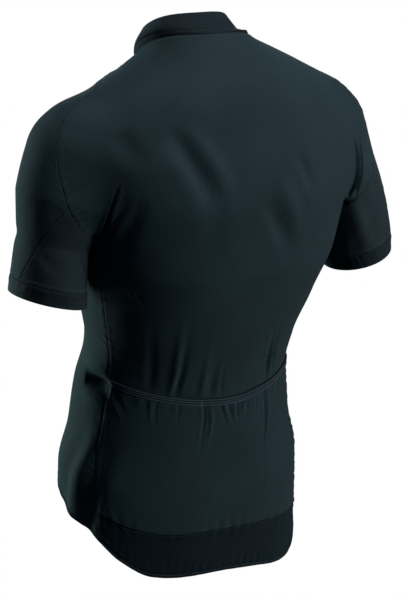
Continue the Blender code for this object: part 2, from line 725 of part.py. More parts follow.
def added(name, mesh, kind):
    bmesh.ops.recalc_face_normals(mesh, faces=mesh.faces)
    data = bpy.data.meshes.new(name)
    mesh.to_mesh(data)
    mesh.free()
    data.materials.append(material(kind))
    thing = bpy.data.objects.new(name, data)
    bpy.context.collection.objects.link(thing)
    return thing


def united(first, *others):
    """One closed body from overlapping ones."""
    for other in others:
        union = first.modifiers.new("union", "BOOLEAN")
        union.operation, union.solver, union.object = "UNION", "EXACT", other
    bpy.context.view_layer.update()
    graph = bpy.context.evaluated_depsgraph_get()
    mesh = bpy.data.meshes.new_from_object(first.evaluated_get(graph))
    first.modifiers.clear()
    first.data = mesh
    for other in others:
        bpy.data.objects.remove(other)
    return first


def make_slider():
    """Slider plate and its two ears; the plate's outer face is at y = 0."""
    plate = add_box("zip_slider", (SLIDER_WIDTH, SLIDER_THICK, SLIDER_LENGTH),
                    (0, SLIDER_THICK / 2, 0), "metal")
    rise = PIN_HEIGHT + 0.0008
    sunk = SLIDER_THICK / 2
    ears = [add_box("ear", (EAR_THICK, rise + sunk, EAR_LENGTH),
                    (sign * (EAR_GAP + EAR_THICK) / 2, (sunk - rise) / 2, 0), "metal")
            for sign in (1, -1)]
    return united(plate, *ears)


def make_tab():
    """Pull tab hanging straight down from its axis, which is the X axis."""
    knuckle = add_cylinder("zip_pull_tab", TAB_KNUCKLE, EAR_GAP - 2 * SEAM_GAP, "metal")
    plate_top = TAB_KNUCKLE + 0.0014
    neck = add_box("neck", (EAR_GAP - 0.0010, TAB_THICK * 0.9, plate_top + 0.0010),
                   (0, 0, -plate_top / 2 - 0.0005), "metal")
    plate = add_box("plate", (TAB_WIDTH, TAB_THICK, TAB_LENGTH - plate_top),
                    (0, 0, -(TAB_LENGTH + plate_top) / 2), "metal")
    return united(knuckle, neck, plate)


def main():
    for thing in list(bpy.data.objects):
        bpy.data.objects.remove(thing)
    neck = neck_seam()
    left, right = side_seams("left", neck), side_seams("right", neck)
    hems = [make_front("left", left, neck), make_side("left", left), make_back(left, right, neck),
            make_side("right", right), make_front("right", right, neck)]
    make_edging(hems)
    make_sleeve("left", left)
    make_sleeve("right", right)
    make_collar(neck)
    make_zip()


main()
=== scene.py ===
import math
import bpy
import numpy as np
from mathutils import Matrix, Vector


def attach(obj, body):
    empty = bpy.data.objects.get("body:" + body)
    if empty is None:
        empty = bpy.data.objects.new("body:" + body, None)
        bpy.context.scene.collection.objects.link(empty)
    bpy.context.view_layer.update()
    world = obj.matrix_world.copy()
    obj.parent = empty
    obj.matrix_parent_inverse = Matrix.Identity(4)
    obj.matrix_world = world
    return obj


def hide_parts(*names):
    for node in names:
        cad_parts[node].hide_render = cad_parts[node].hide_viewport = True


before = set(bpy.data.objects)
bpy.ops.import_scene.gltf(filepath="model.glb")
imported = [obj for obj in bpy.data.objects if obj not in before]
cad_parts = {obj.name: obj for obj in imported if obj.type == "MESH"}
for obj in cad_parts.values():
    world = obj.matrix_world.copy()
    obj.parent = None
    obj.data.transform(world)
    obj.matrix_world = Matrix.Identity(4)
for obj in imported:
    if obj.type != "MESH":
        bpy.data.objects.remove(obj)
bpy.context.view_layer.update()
print("frame loaded")

def inScene(name, data):
    thing = bpy.data.objects.new(name, data)
    bpy.context.collection.objects.link(thing)
    return thing


# camera: it looks at the jersey from behind its left side, a little from above
cameraSet = dict(azimuth=33.424, elevation=22.616, distance=2.430, lens=113.03, sensor=36.0, farthest=60.0,
                 aim=(0.0, 0.0, -0.33), right=0.009, rise=-0.013, roll=3.846)


def makeCamera(c):
    a, e, r = (math.radians(c[key]) for key in ("azimuth", "elevation", "roll"))
    aim = Vector(c["aim"])
    place = aim + c["distance"] * Vector((math.sin(a) * math.cos(e), math.cos(a) * math.cos(e), math.sin(e)))
    target = aim + c["right"] * Vector((-math.cos(a), math.sin(a), 0)) + Vector((0, 0, c["rise"]))
    ahead = (target - place).normalized()
    side = ahead.cross(Vector((0, 0, 1))).normalized()
    up = side.cross(ahead)
    across, top = side * math.cos(r) + up * math.sin(r), up * math.cos(r) - side * math.sin(r)
    data = bpy.data.cameras.new("camera")
    data.lens, data.sensor_width, data.clip_end = c["lens"], c["sensor"], c["farthest"]
    cam = inScene("camera", data)
    rows = [[*row, p] for row, p in zip(zip(across, top, -ahead), place)]
    cam.matrix_world = Matrix(rows + [[0, 0, 0, 1]])
    bpy.context.scene.camera = cam


makeCamera(cameraSet)

# the body form that the cloth lies on, in metres
# trunk: level, half width left and right, back, front, squareness
trunkRows = [
    (0.020, 0.063, 0.040, 0.0213, -0.089, 2.00), (0.000, 0.073, 0.065, 0.0475, -0.085, 2.00),
    (-0.015, 0.088, 0.094, 0.067, -0.080, 2.00), (-0.030, 0.121, 0.124, 0.087, -0.077, 2.00),
    (-0.050, 0.157, 0.157, 0.101, -0.088, 2.05), (-0.080, 0.184, 0.184, 0.114, -0.103, 2.15),
    (-0.120, 0.192, 0.192, 0.129, -0.111, 2.25), (-0.180, 0.187, 0.187, 0.140, -0.116, 2.30),
    (-0.250, 0.175, 0.175, 0.140, -0.116, 2.30), (-0.320, 0.159, 0.159, 0.118, -0.109, 2.25),
    (-0.390, 0.145, 0.145, 0.093, -0.108, 2.20), (-0.450, 0.149, 0.149, 0.076, -0.119, 2.20),
    (-0.510, 0.155, 0.155, 0.081, -0.122, 2.25), (-0.570, 0.169, 0.169, 0.089, -0.124, 2.30),
    (-0.630, 0.169, 0.169, 0.095, -0.119, 2.35), (-0.700, 0.170, 0.170, 0.104, -0.111, 2.40),
    (-0.740, 0.170, 0.170, 0.106, -0.109, 2.40)]
# sleeve axes: shoulder point, cuff point, bow
sleeveAxes = {"left": ((0.178, -0.007, -0.126), (0.223, 0.012, -0.298), (0.0074, -0.0009, 0.0022)),
              "right": ((-0.174, -0.003, -0.131), (-0.233, 0.031, -0.305), (-0.0069, 0.0004, 0.0023))}
# sleeves: station, then across and deep radius of the left and of the right one
sleeveRows = [(0.00, 0.063, 0.062, 0.062, 0.063), (0.30, 0.058, 0.062, 0.054, 0.061),
              (0.60, 0.044, 0.052, 0.051, 0.056), (0.85, 0.044, 0.055, 0.049, 0.057),
              (1.00, 0.047, 0.055, 0.044, 0.056), (1.15, 0.050, 0.058, 0.048, 0.060)]
# collar rings, seam first: half width left and right, half depth, centre x and y, level at the back,
# how far the front is lower, rise at the left and at the right
collarRings = [(0.0738, 0.0700, 0.0636, 0.0000, -0.0387, 0.0174, 0.0921, 0.0194, 0.0140),
               (0.0750, 0.0515, 0.0623, 0.0021, -0.0414, 0.0217, 0.0920, 0.0230, 0.0107),
               (0.0551, 0.0524, 0.0571, 0.0114, -0.0530, 0.0400, 0.0920, 0.0176, 0.0065)]
ringStations = (0.0, 0.19, 1.0)
# seams: level and the angles of the two side seams; angle and level of the pocket top, band seam and hem
sideSeams = [(-0.226, 10.0, -25.0), (-0.300, 11.0, -31.0), (-0.384, 13.0, -36.0), (-0.450, 17.0, -39.0),
             (-0.520, 16.0, -40.0), (-0.600, 19.0, -40.0), (-0.720, 20.0, -40.0)]
pocketTop = [(17.0, -0.423), (38.0, -0.436), (72.0, -0.451), (108.0, -0.457), (130.0, -0.452),
             (163.0, -0.437)]
bandSeam = [(19.0, -0.599), (35.0, -0.617), (54.0, -0.628), (81.0, -0.632), (121.0, -0.640), (161.0, -0.654)]
hemLine = [(-90.0, -0.596), (-45.0, -0.597), (-16.0, -0.603), (2.0, -0.619), (18.0, -0.636), (29.0, -0.662),
           (44.0, -0.684), (62.0, -0.690), (90.0, -0.693), (119.0, -0.702), (144.0, -0.713), (155.0, -0.705),
           (165.0, -0.680), (180.0, -0.650), (196.0, -0.626), (225.0, -0.606), (270.0, -0.596)]
armholeBack = [(0.182, 0.046, -0.226), (0.191, 0.057, -0.211), (0.203, 0.059, -0.198), (0.212, 0.058, -0.186),
               (0.221, 0.054, -0.169), (0.225, 0.047, -0.150), (0.227, 0.037, -0.128), (0.225, 0.029, -0.106),
               (0.218, 0.019, -0.085), (0.205, 0.010, -0.070), (0.179, -0.003, -0.056),
               (0.148, -0.019, -0.048), (0.128, -0.040, -0.052)]
armholeFront = [(0.128, -0.040, -0.052), (0.150, -0.062, -0.080), (0.172, -0.070, -0.110),
                (0.187, -0.070, -0.142), (0.193, -0.065, -0.172), (0.189, -0.058, -0.198),
                (0.174, -0.045, -0.222)]
underarmGuides = [(0.182, 0.046, -0.226), (0.183, 0.005, -0.233), (0.174, -0.045, -0.222)]
sleeveSeamBack = [(0.35, 64.0), (0.45, 54.0), (0.57, 43.0), (0.68, 33.0), (0.79, 20.0), (0.89, 8.0)]
sleeveSeamFront = [(0.40, -95.0), (0.62, -96.0), (0.89, -97.0)]
# the cuff's seam as a station, half the gap between the fronts, the edging's height, the least gap between
# under sleeve and trunk, and the angle where shoulder and neck seams meet
cuffStart, zipEdge, edgeHeight, underarmGap, neckShoulder = 0.890, 0.0108, 0.005, 0.0025, -25.0
# coarse steps along each seam
steps = dict(band=3, pocket=7, side=9, armhole=12, lowBack=3, lowFront=3, capSide=4, underarm=6, shoulder=3,
             frontNeck=5, backNeck=12, sleeve=6)
fine = 8  # fine steps in each coarse one


def unit(v):
    return v / np.maximum(np.linalg.norm(v, axis=-1, keepdims=True), 1e-12)


def smoothColumn(xs, ys, at):
    h = np.diff(xs)
    m = np.diff(ys) / h
    t = np.zeros(len(xs))
    t[0], t[-1] = m[0], m[-1]
    for i in range(1, len(xs) - 1):
        if m[i - 1] * m[i] > 0:
            a, b = 2 * h[i] + h[i - 1], h[i] + 2 * h[i - 1]
            t[i] = (a + b) / (a / m[i - 1] + b / m[i])
    i = np.clip(np.searchsorted(xs, at) - 1, 0, len(xs) - 2)
    u = np.clip((at - xs[i]) / h[i], 0, 1)
    return ((1 + 2 * u) * (1 - u) ** 2 * ys[i] + u * (1 - u) ** 2 * h[i] * t[i]
            + u * u * (3 - 2 * u) * ys[i + 1] + u * u * (u - 1) * h[i] * t[i + 1])


def table(rows, at):
    data = np.array(sorted(rows))
    at = np.asarray(at, float)
    return [smoothColumn(data[:, 0], data[:, i], at) for i in range(1, data.shape[1])]


trunkLevels = np.linspace(-0.76, 0.06, 1200)
trunkColumns = table(trunkRows, trunkLevels)


def section(level, x):
    left, right, back, front, square = (np.interp(level, trunkLevels, c) for c in trunkColumns)
    return np.where(np.asarray(x) > 0, left, right), (back - front) / 2, (back + front) / 2, square


def girthPoint(angle, level):
    angle, level = np.radians(np.asarray(angle, float)), np.asarray(level, float)
    c, s = np.cos(angle), np.sin(angle)
    w, d, mid, n = section(level, c)
    reach = ((np.abs(c) / w) ** n + (np.abs(s) / d) ** n) ** (-1 / n)
    return np.stack([reach * c, mid + reach * s, level * np.ones_like(c)], -1)


def trunkDistance(p):
    def radial(level):
        w, d, mid, n = section(level, p[..., 0])
        x, y = p[..., 0], p[..., 1] - mid
        k = ((np.abs(x) / w) ** n + (np.abs(y) / d) ** n) ** (1 / n)
        r = np.hypot(x, y)
        return r - r / np.maximum(k, 1e-6)

    h = 0.002
    slope = (radial(p[..., 2] + h) - radial(p[..., 2] - h)) / (2 * h)
    return radial(p[..., 2]) / np.sqrt(1 + slope ** 2)


def sleeveFrame(side, station):
    start, end, bow = (np.array(v) for v in sleeveAxes[side])
    station = np.asarray(station, float)
    axis = end - start
    along = axis / np.linalg.norm(axis)
    back = unit(np.array([0.0, 1.0, 0.0]) - along[1] * along)
    out = np.cross(along, back) * (1 if side == "left" else -1)
    centre = start + station[..., None] * axis + (4 * station * (1 - station))[..., None] * bow
    columns = [np.array(c) for c in zip(*sleeveRows)]
    first = 1 if side == "left" else 3
    across, deep = (np.interp(station, columns[0], columns[first + i]) for i in (0, 1))
    return centre, out, back, across, deep


def sleevePoint(side, station, angle):
    centre, out, back, across, deep = sleeveFrame(side, station)
    angle = np.radians(np.asarray(angle, float))
    c, s = np.cos(angle), np.sin(angle)
    reach = 1 / np.sqrt((c / across) ** 2 + (s / deep) ** 2)
    return centre + (reach * c)[..., None] * out + (reach * s)[..., None] * back


def sleeveDistance(p, side):
    start, end, _ = (np.array(v) for v in sleeveAxes[side])
    axis = end - start
    station = np.clip((p - start) @ axis / (axis @ axis), 0, 1.15)
    centre, out, back, across, deep = sleeveFrame(side, station)
    v = p - centre
    before = np.minimum(v @ (axis / np.linalg.norm(axis)), 0)
    r = np.sqrt((v @ out) ** 2 + (v @ back) ** 2 + before ** 2)
    k = np.sqrt((v @ out / across) ** 2 + (v @ back / deep) ** 2 + (before / across) ** 2)
    return r - r / np.maximum(k, 1e-6)


def ramp(value, low, high):
    t = np.clip((value - low) / (high - low), 0, 1)
    return t * t * (3 - 2 * t)


# where sleeve and trunk join: width of the soft join under the arm and what the shoulder adds to it,
# the levels between which it grows, and the depths from which they part and keep apart
armpitSet = dict(narrow=0.008, wider=0.027, low=-0.222, high=-0.175, parting=0.07, partDown=(0.205, 0.245),
                 apartDown=(0.200, 0.215))


def blended(own, other, level):
    a = armpitSet
    width = a["narrow"] + a["wider"] * ramp(level, a["low"], a["high"])
    other = other + a["parting"] * ramp(-level, *a["partDown"])
    h = np.maximum(width - np.abs(own - other), 0) / width
    return np.minimum(own, other) - h * h * width / 4


def bodyForm(p):
    d = trunkDistance(p)
    for side in ("left", "right"):
        d = blended(d, sleeveDistance(p, side), p[..., 2])
    return d


def sleeveForm(side):
    return lambda p: blended(sleeveDistance(p, side), trunkDistance(p), p[..., 2])


def gradient(form, p):
    h = 0.0008
    return unit(np.stack([form(p + h * e) - form(p - h * e) for e in np.eye(3)], -1))


def drawnOnto(form, p, rounds=6):
    p = np.array(p, float)
    for _ in range(rounds):
        p = p - form(p)[..., None] * gradient(form, p)
    return p


def offTrunk(p, gap):
    for _ in range(4):
        short = np.maximum(gap - trunkDistance(p), 0) * ramp(-p[..., 2], *armpitSet["apartDown"])
        p = p + short[..., None] * gradient(trunkDistance, p)
    return p


def curved(a, b, c, d, t):  # from b to c, with a before them and d after them
    square, cube = (2 * a - 5 * b + 4 * c - d) * t ** 2, (3 * b - a - 3 * c + d) * t ** 3
    return 0.5 * (2 * b + (c - a) * t + square + cube)


def curveThrough(points, count):
    points = np.array(points, float)
    ends = np.vstack([2 * points[0] - points[1], points, 2 * points[-1] - points[-2]])
    t = np.linspace(0, 1, 24, endpoint=False)[:, None]
    parts = [curved(*four, t) for four in zip(ends, ends[1:], ends[2:], ends[3:])]
    line = np.vstack(parts + [points[-1:]])
    run = np.concatenate([[0], np.cumsum(np.linalg.norm(np.diff(line, axis=0), axis=1))])
    at = np.linspace(0, run[-1], count + 1)
    return np.stack([np.interp(at, run, line[:, i]) for i in range(3)], 1)


def coons(bottom, top, left, right):
    v = np.linspace(0, 1, len(left))[:, None, None]
    u = np.linspace(0, 1, len(bottom))[None, :, None]
    low, high = (1 - u) * (1 - v) * bottom[0] + u * (1 - v) * bottom[-1], (1 - u) * v * top[0]
    corners = low + high + u * v * top[-1]
    return (1 - v) * bottom[None] + v * top[None] + (1 - u) * left[:, None] + u * right[:, None] - corners


def refined(grid, axis):
    g = np.moveaxis(grid, axis, 0)
    ends = np.concatenate([2 * g[:1] - g[1:2], g, 2 * g[-1:] - g[-2:-1]])
    rows = [curved(ends[:-3], ends[1:-2], ends[2:-1], ends[3:], t) for t in np.arange(fine) / fine]
    out = np.stack(rows, 1).reshape(-1, *g.shape[1:])
    return np.moveaxis(np.concatenate([out, g[-1:]]), 0, axis)


panelSet = dict(rounds=60, easing=0.7)


# a grid between four seams, evened out on the form
def panel(bottom, top, left, right, form, keepOff=None):
    coarse = coons(bottom[::fine], top[::fine], left[::fine], right[::fine])
    for _ in range(panelSet["rounds"]):
        inner = coarse[1:-1, 1:-1]
        even = (coarse[:-2, 1:-1] + coarse[2:, 1:-1] + coarse[1:-1, :-2] + coarse[1:-1, 2:]) / 4
        inner = drawnOnto(form, inner + panelSet["easing"] * (even - inner), 2)
        coarse[1:-1, 1:-1] = offTrunk(inner, keepOff) if keepOff else inner
    grid = refined(refined(coarse, 0), 1)
    grid += coons(bottom - grid[0], top - grid[-1], left - grid[:, 0], right - grid[:, -1])
    grid[1:-1, 1:-1] = drawnOnto(form, grid[1:-1, 1:-1], 3)
    if keepOff:
        grid[1:-1, 1:-1] = offTrunk(grid[1:-1, 1:-1], keepOff)
    return grid


def angleOf(point):
    mid = float(section(point[2], 0)[2])
    angle = math.degrees(math.atan2(point[1] - mid, point[0]))
    return angle if angle >= -90 else angle + 360


def collarPoint(ring, angle):
    left, right, depth, x, y, level, drop, riseLeft, riseRight = ring
    c, s = np.cos(np.radians(angle)), np.sin(np.radians(angle))
    w, rise = np.where(c > 0, left, right), np.where(c > 0, riseLeft, riseRight)
    across, height = x * np.clip(1 + s, 0, 1) + w * c, level - drop * (1 - s) / 2 + rise * c * c
    return np.stack([across, y + depth * s, height], -1)


def ringAt(v):  # v from 0 at the seam to 1 at the top edge
    return [float(smoothColumn(np.array(ringStations), np.array(c), v)) for c in zip(*collarRings)]


def frontAngle(ring, x):
    return -math.degrees(math.acos(x / ring[0 if x > 0 else 1]))


def collarAngles(ring):
    side, other = neckShoulder, 180 - neckShoulder
    n, m = steps["frontNeck"] * fine, steps["backNeck"] * fine
    start, end = frontAngle(ring, zipEdge), 360 + frontAngle(ring, -zipEdge)
    return np.concatenate([np.linspace(start, side, n + 1)[:-1], np.linspace(side, other, m + 1),
                           np.linspace(other, end, n + 1)[1:]])


def neckSeam():
    ring = drawnOnto(bodyForm, collarPoint(ringAt(0), collarAngles(ringAt(0))))
    ring[[0, -1], 0] = zipEdge, -zipEdge
    return ring


def frontEdge(x, low, high, count):
    levels = np.linspace(low, high, count + 1)
    w, d, mid, n = section(levels, x)
    return np.stack([np.full(count + 1, x), mid - d * (1 - (abs(x) / w) ** n) ** (1 / n), levels], 1)


def sideSeamLines(side, neck):
    left = side == "left"

    def turned(angle):
        return angle if left else 180 - angle

    def guided(rows, count):
        points = np.array(rows) * np.array([1 if left else -1, 1, 1])
        return drawnOnto(bodyForm, curveThrough(points, count * fine))

    def levelOn(rows, column):  # where a side seam meets one that goes round
        level = -0.6
        for _ in range(6):
            level = float(table(rows, turned(table(sideSeams, level)[column]))[0])
        return level

    def downSide(column, low, high, count, top=None):
        levels = np.linspace(low, high, 12)
        points = girthPoint(turned(table(sideSeams, levels)[column]), levels)
        if top is not None:
            points = np.vstack([points[:-1], top])
        return curveThrough(points, count * fine)

    s = dict(armholeBack=guided(armholeBack, steps["armhole"]),
             armholeFront=guided(armholeFront, steps["armhole"]),
             underarm=guided(underarmGuides, steps["underarm"]))
    s["armholeFront"][0] = s["armholeBack"][-1]
    s["underarm"][0], s["underarm"][-1] = s["armholeBack"][0], s["armholeFront"][-1]
    end = neck[steps["frontNeck"] * fine if left else -1 - steps["frontNeck"] * fine]
    line = drawnOnto(bodyForm, np.linspace(s["armholeBack"][-1], end, steps["shoulder"] * fine + 1))
    line[0], line[-1] = s["armholeBack"][-1], end
    s["shoulder"] = line
    hemBack, hemFront = (levelOn(hemLine, c) + edgeHeight for c in (0, 1))
    band, pocket = levelOn(bandSeam, 0), levelOn(pocketTop, 0)
    parts = (downSide(0, hemBack, band, steps["band"]), downSide(0, band, pocket, steps["pocket"]),
             downSide(0, pocket, underarmGuides[0][2], steps["side"], s["underarm"][0]))
    s["sideBack"] = np.vstack([parts[0], parts[1][1:], parts[2][1:]])
    whole = steps["band"] + steps["pocket"] + steps["side"]
    s["sideFront"] = downSide(1, hemFront, underarmGuides[-1][2], whole, s["underarm"][-1])
    return s


def roundTrunk(rows, start, end, count, raised=0.0):
    angles = np.linspace(angleOf(start), angleOf(end), 120)
    line = curveThrough(girthPoint(angles, table(rows, angles)[0] + raised), count * fine)
    line[0], line[-1] = start, end
    return line


neck = neckSeam()
seams = {side: sideSeamLines(side, neck) for side in ("left", "right")}
print("seams laid out")


# each input is fed by a socket, by another node's first output or by a plain value
def feed(tree, n, feeds):
    for key, source in feeds.items():
        if isinstance(source, bpy.types.Node):
            source = source.outputs[0]
        if isinstance(source, bpy.types.NodeSocket):
            tree.links.new(source, n.inputs[key])
        else:
            n.inputs[key].default_value = source
    return n


def node(tree, kind, place, feeds=None, **values):
    n = tree.nodes.new(kind)
    n.location = place
    for key, value in values.items():
        setattr(n, key, value)
    return feed(tree, n, feeds or {})


def mathNode(tree, place, operation, *feeds):
    return node(tree, "ShaderNodeMath", place, dict(enumerate(feeds)), operation=operation)


def addSockets(tree, way, kind, *names):
    return [tree.interface.new_socket(name, in_out=way, socket_type="NodeSocket" + kind) for name in names]


# knit: round holes on a turned grid, fine ribs, fuzz of the yarn and a wide change of shade
knitSet = dict(jitter=0.06, innerShare=0.55, ribScale=0.314, ribWobble=0.6, fuzzScale=900.0, fuzz=0.6,
               shadeScale=9.0, shadeRoughness=0.55)


def makeKnitGroup():
    k = knitSet
    t = bpy.data.node_groups.new("knit", "ShaderNodeTree")
    addSockets(t, "INPUT", "Float", "Pitch", "Turn", "Hole Size", "Rib Pitch")
    addSockets(t, "OUTPUT", "Float", "Hole", "Height", "Shade")
    given = node(t, "NodeGroupInput", (-1100, 0)).outputs
    at = node(t, "ShaderNodeTexCoord", (-1100, 300)).outputs
    turned = node(t, "ShaderNodeVectorRotate", (-900, 200), {"Vector": at["UV"], "Angle": given["Turn"]},
                  rotation_type="Z_AXIS")
    count = mathNode(t, (-900, 0), "DIVIDE", 1.0, given["Pitch"])
    dots = node(t, "ShaderNodeTexVoronoi", (-650, 200),
                {"Vector": turned, "Scale": count, "Randomness": k["jitter"]},
                voronoi_dimensions="2D", feature="F1")
    inner = mathNode(t, (-650, -50), "MULTIPLY", given["Hole Size"], k["innerShare"])
    hole = node(t, "ShaderNodeMapRange", (-400, 200),
                {"Value": dots.outputs["Distance"], "From Min": inner, "From Max": given["Hole Size"],
                 "To Min": 1.0, "To Max": 0.0}, interpolation_type="SMOOTHSTEP")
    ribCount = mathNode(t, (-900, -250), "DIVIDE", 1.0, given["Rib Pitch"])
    ribScale = mathNode(t, (-780, -350), "MULTIPLY", ribCount, k["ribScale"])
    ribs = node(t, "ShaderNodeTexWave", (-650, -250),
                {"Vector": at["UV"], "Scale": ribScale, "Distortion": k["ribWobble"], "Detail": 1.0},
                wave_type="BANDS", bands_direction="X", wave_profile="SIN")
    fuzz = node(t, "ShaderNodeTexNoise", (-650, -520),
                {"Vector": at["UV"], "Scale": k["fuzzScale"], "Detail": 2.0})
    raised = mathNode(t, (-150, -50), "MULTIPLY_ADD", hole, -1.0, ribs.outputs["Fac"])
    height = mathNode(t, (50, -50), "MULTIPLY_ADD", fuzz.outputs["Fac"], k["fuzz"], raised)
    wide = node(t, "ShaderNodeTexNoise", (-650, -760),
                {"Vector": at["Object"], "Scale": k["shadeScale"], "Detail": 3.0,
                 "Roughness": k["shadeRoughness"]})
    node(t, "NodeGroupOutput", (700, 0), {"Hole": hole, "Height": height, "Shade": wide.outputs["Fac"]})
    return t


knitGroup = makeKnitGroup()

# each cloth: thread and hole colours, pitches in metres, turn of the holes, gloss, bump, change of shade;
# what a cloth doesn't name is as in plainKnit
plainKnit = dict(turn=0.785, holeSize=0.40, ribPitch=0.0010, roughness=0.80, shine=0.10, sheen=0.03,
                 bump=0.25, variation=0.14, sheenRoughness=0.45, sheenTint=(0.55, 0.80, 0.82, 1), depth=0.0005)
clothLooks = dict(
    eyeletKnit=dict(thread=(0.026, 0.046, 0.054), hole=(0.003, 0.008, 0.011), pitch=0.0022, holeSize=0.42,
                    ribPitch=0.0013, bump=0.30),
    smoothKnit=dict(thread=(0.022, 0.033, 0.040), hole=(0.009, 0.015, 0.020), pitch=0.0016, holeSize=0.36,
                    roughness=0.78, shine=0.08, sheen=0.02, bump=0.22, variation=0.12),
    sideKnit=dict(thread=(0.024, 0.046, 0.048), hole=(0.006, 0.014, 0.015), pitch=0.0019, turn=0.4,
                  holeSize=0.34, ribPitch=0.0009, roughness=0.75, bump=0.30, variation=0.20),
    denseKnit=dict(thread=(0.006, 0.014, 0.020), hole=(0.002, 0.005, 0.008), pitch=0.0018),
    ribKnit=dict(thread=(0.012, 0.021, 0.027), hole=(0.004, 0.008, 0.012), pitch=0.0017, shine=0.12,
                 sheen=0.04),
    # the elastic's cord tones are painted light on the cords' tops and painted shade in the grooves between
    # them
    elasticBand=dict(thread=(0.030, 0.046, 0.058), hole=(0.012, 0.020, 0.026), pitch=0.0013, turn=0.0,
                     holeSize=0.34, ribPitch=0.0008, roughness=0.70, shine=0.12, bump=0.22, variation=0.10,
                     cordPitch=0.00347, cordLightAndShade=(1.95, 0.12)),
    zipWeave=dict(thread=(0.012, 0.014, 0.016), hole=(0.004, 0.005, 0.006), pitch=0.0008, holeSize=0.36,
                  ribPitch=0.0007, roughness=0.70, shine=0.20, sheen=0.02, bump=0.20, variation=0.08))


def newMaterial(name):
    m = bpy.data.materials.new(name)
    m.use_nodes = True
    return m, m.node_tree, m.node_tree.nodes["Principled BSDF"]


def makeCloth(name, own):
    look = {**plainKnit, **own}
    m, t, shader = newMaterial(name)
    made = node(t, "ShaderNodeGroup", (-700, 0),
                {"Pitch": look["pitch"], "Turn": look["turn"], "Hole Size": look["holeSize"],
                 "Rib Pitch": look["ribPitch"]}, node_tree=knitGroup).outputs
    thread, hole, change = (*look["thread"], 1), (*look["hole"], 1), look["variation"]
    colour = node(t, "ShaderNodeMix", (-450, 200), {"Factor": made["Hole"], "A": thread, "B": hole},
                  data_type="RGBA")
    scale = node(t, "ShaderNodeMapRange", (-450, -50),
                 {"Value": made["Shade"], "From Min": 0.3, "From Max": 0.7,
                  "To Min": 1 - change, "To Max": 1 + change})
    if "cordPitch" in look:  # lengthwise cords with painted light on their tops and painted shade in the grooves between them
        at = node(t, "ShaderNodeTexCoord", (-1300, -500)).outputs["UV"]
        up = node(t, "ShaderNodeSeparateXYZ", (-1100, -500), {0: at}).outputs["Y"]
        phase = mathNode(t, (-900, -500), "MULTIPLY", up, 2 * math.pi / look["cordPitch"])
        wave = mathNode(t, (-750, -500), "COSINE", phase)
        low, high = look["cordLightAndShade"]
        cordLitShaded = node(t, "ShaderNodeMapRange", (-600, -500),
                    {"Value": wave, "From Min": -1.0, "From Max": 1.0, "To Min": low, "To Max": high})
        scale = mathNode(t, (-350, -350), "MULTIPLY", cordLitShaded, scale)
    tinted = node(t, "ShaderNodeVectorMath", (-250, 200), {0: colour.outputs["Result"], "Scale": scale},
                  operation="SCALE")
    bump = node(t, "ShaderNodeBump", (-250, -250),
                {"Height": made["Height"], "Strength": look["bump"], "Distance": look["depth"]})
    feed(t, shader, {"Base Color": tinted, "Normal": bump, "Roughness": look["roughness"],
                     "Sheen Weight": look["sheen"], "Sheen Roughness": look["sheenRoughness"],
                     "Sheen Tint": look["sheenTint"], "Specular IOR Level": look["shine"]})
    return m


def speckled(t, scale, detail, low, high):  # the speckles and the two colours that they mix
    at = node(t, "ShaderNodeTexCoord", (-900, 0)).outputs["Object"]
    specks = node(t, "ShaderNodeTexNoise", (-700, 0), {"Vector": at, "Scale": scale, "Detail": detail})
    amount = specks.outputs["Fac"]
    tone = node(t, "ShaderNodeMix", (-450, 0), {"Factor": amount, "A": (*low, 1), "B": (*high, 1)},
                data_type="RGBA")
    return amount, tone.outputs["Result"]


threadSet = dict(light=(0.060, 0.078, 0.084), dark=(0.020, 0.028, 0.031), scale=1200.0, shades=(0.6, 1.4),
                 roughness=0.6)
lacquerSet = dict(scale=350.0, tones=((0.018, 0.019, 0.021), (0.05, 0.05, 0.055)), roughness=(0.25, 0.45),
                  metallic=0.7)


def makeThread(name, colour):
    m, t, shader = newMaterial(name)
    tones = ([c * shade for c in colour] for shade in threadSet["shades"])
    tone = speckled(t, threadSet["scale"], 1.0, *tones)[1]
    feed(t, shader, {"Base Color": tone, "Roughness": threadSet["roughness"]})
    return m


def makeLacquer(name):
    m, t, shader = newMaterial(name)
    worn, tone = speckled(t, lacquerSet["scale"], 4.0, *lacquerSet["tones"])
    low, high = lacquerSet["roughness"]
    rough = node(t, "ShaderNodeMapRange", (-450, -150), {"Value": worn, "To Min": low, "To Max": high})
    feed(t, shader, {"Base Color": tone, "Roughness": rough, "Metallic": lacquerSet["metallic"]})
    return m


cloths = {name: makeCloth(name, look) for name, look in clothLooks.items()}
threadLight = makeThread("threadLight", threadSet["light"])
threadDark = makeThread("threadDark", threadSet["dark"])
lacquer = makeLacquer("darkLacquer")
print("materials made")


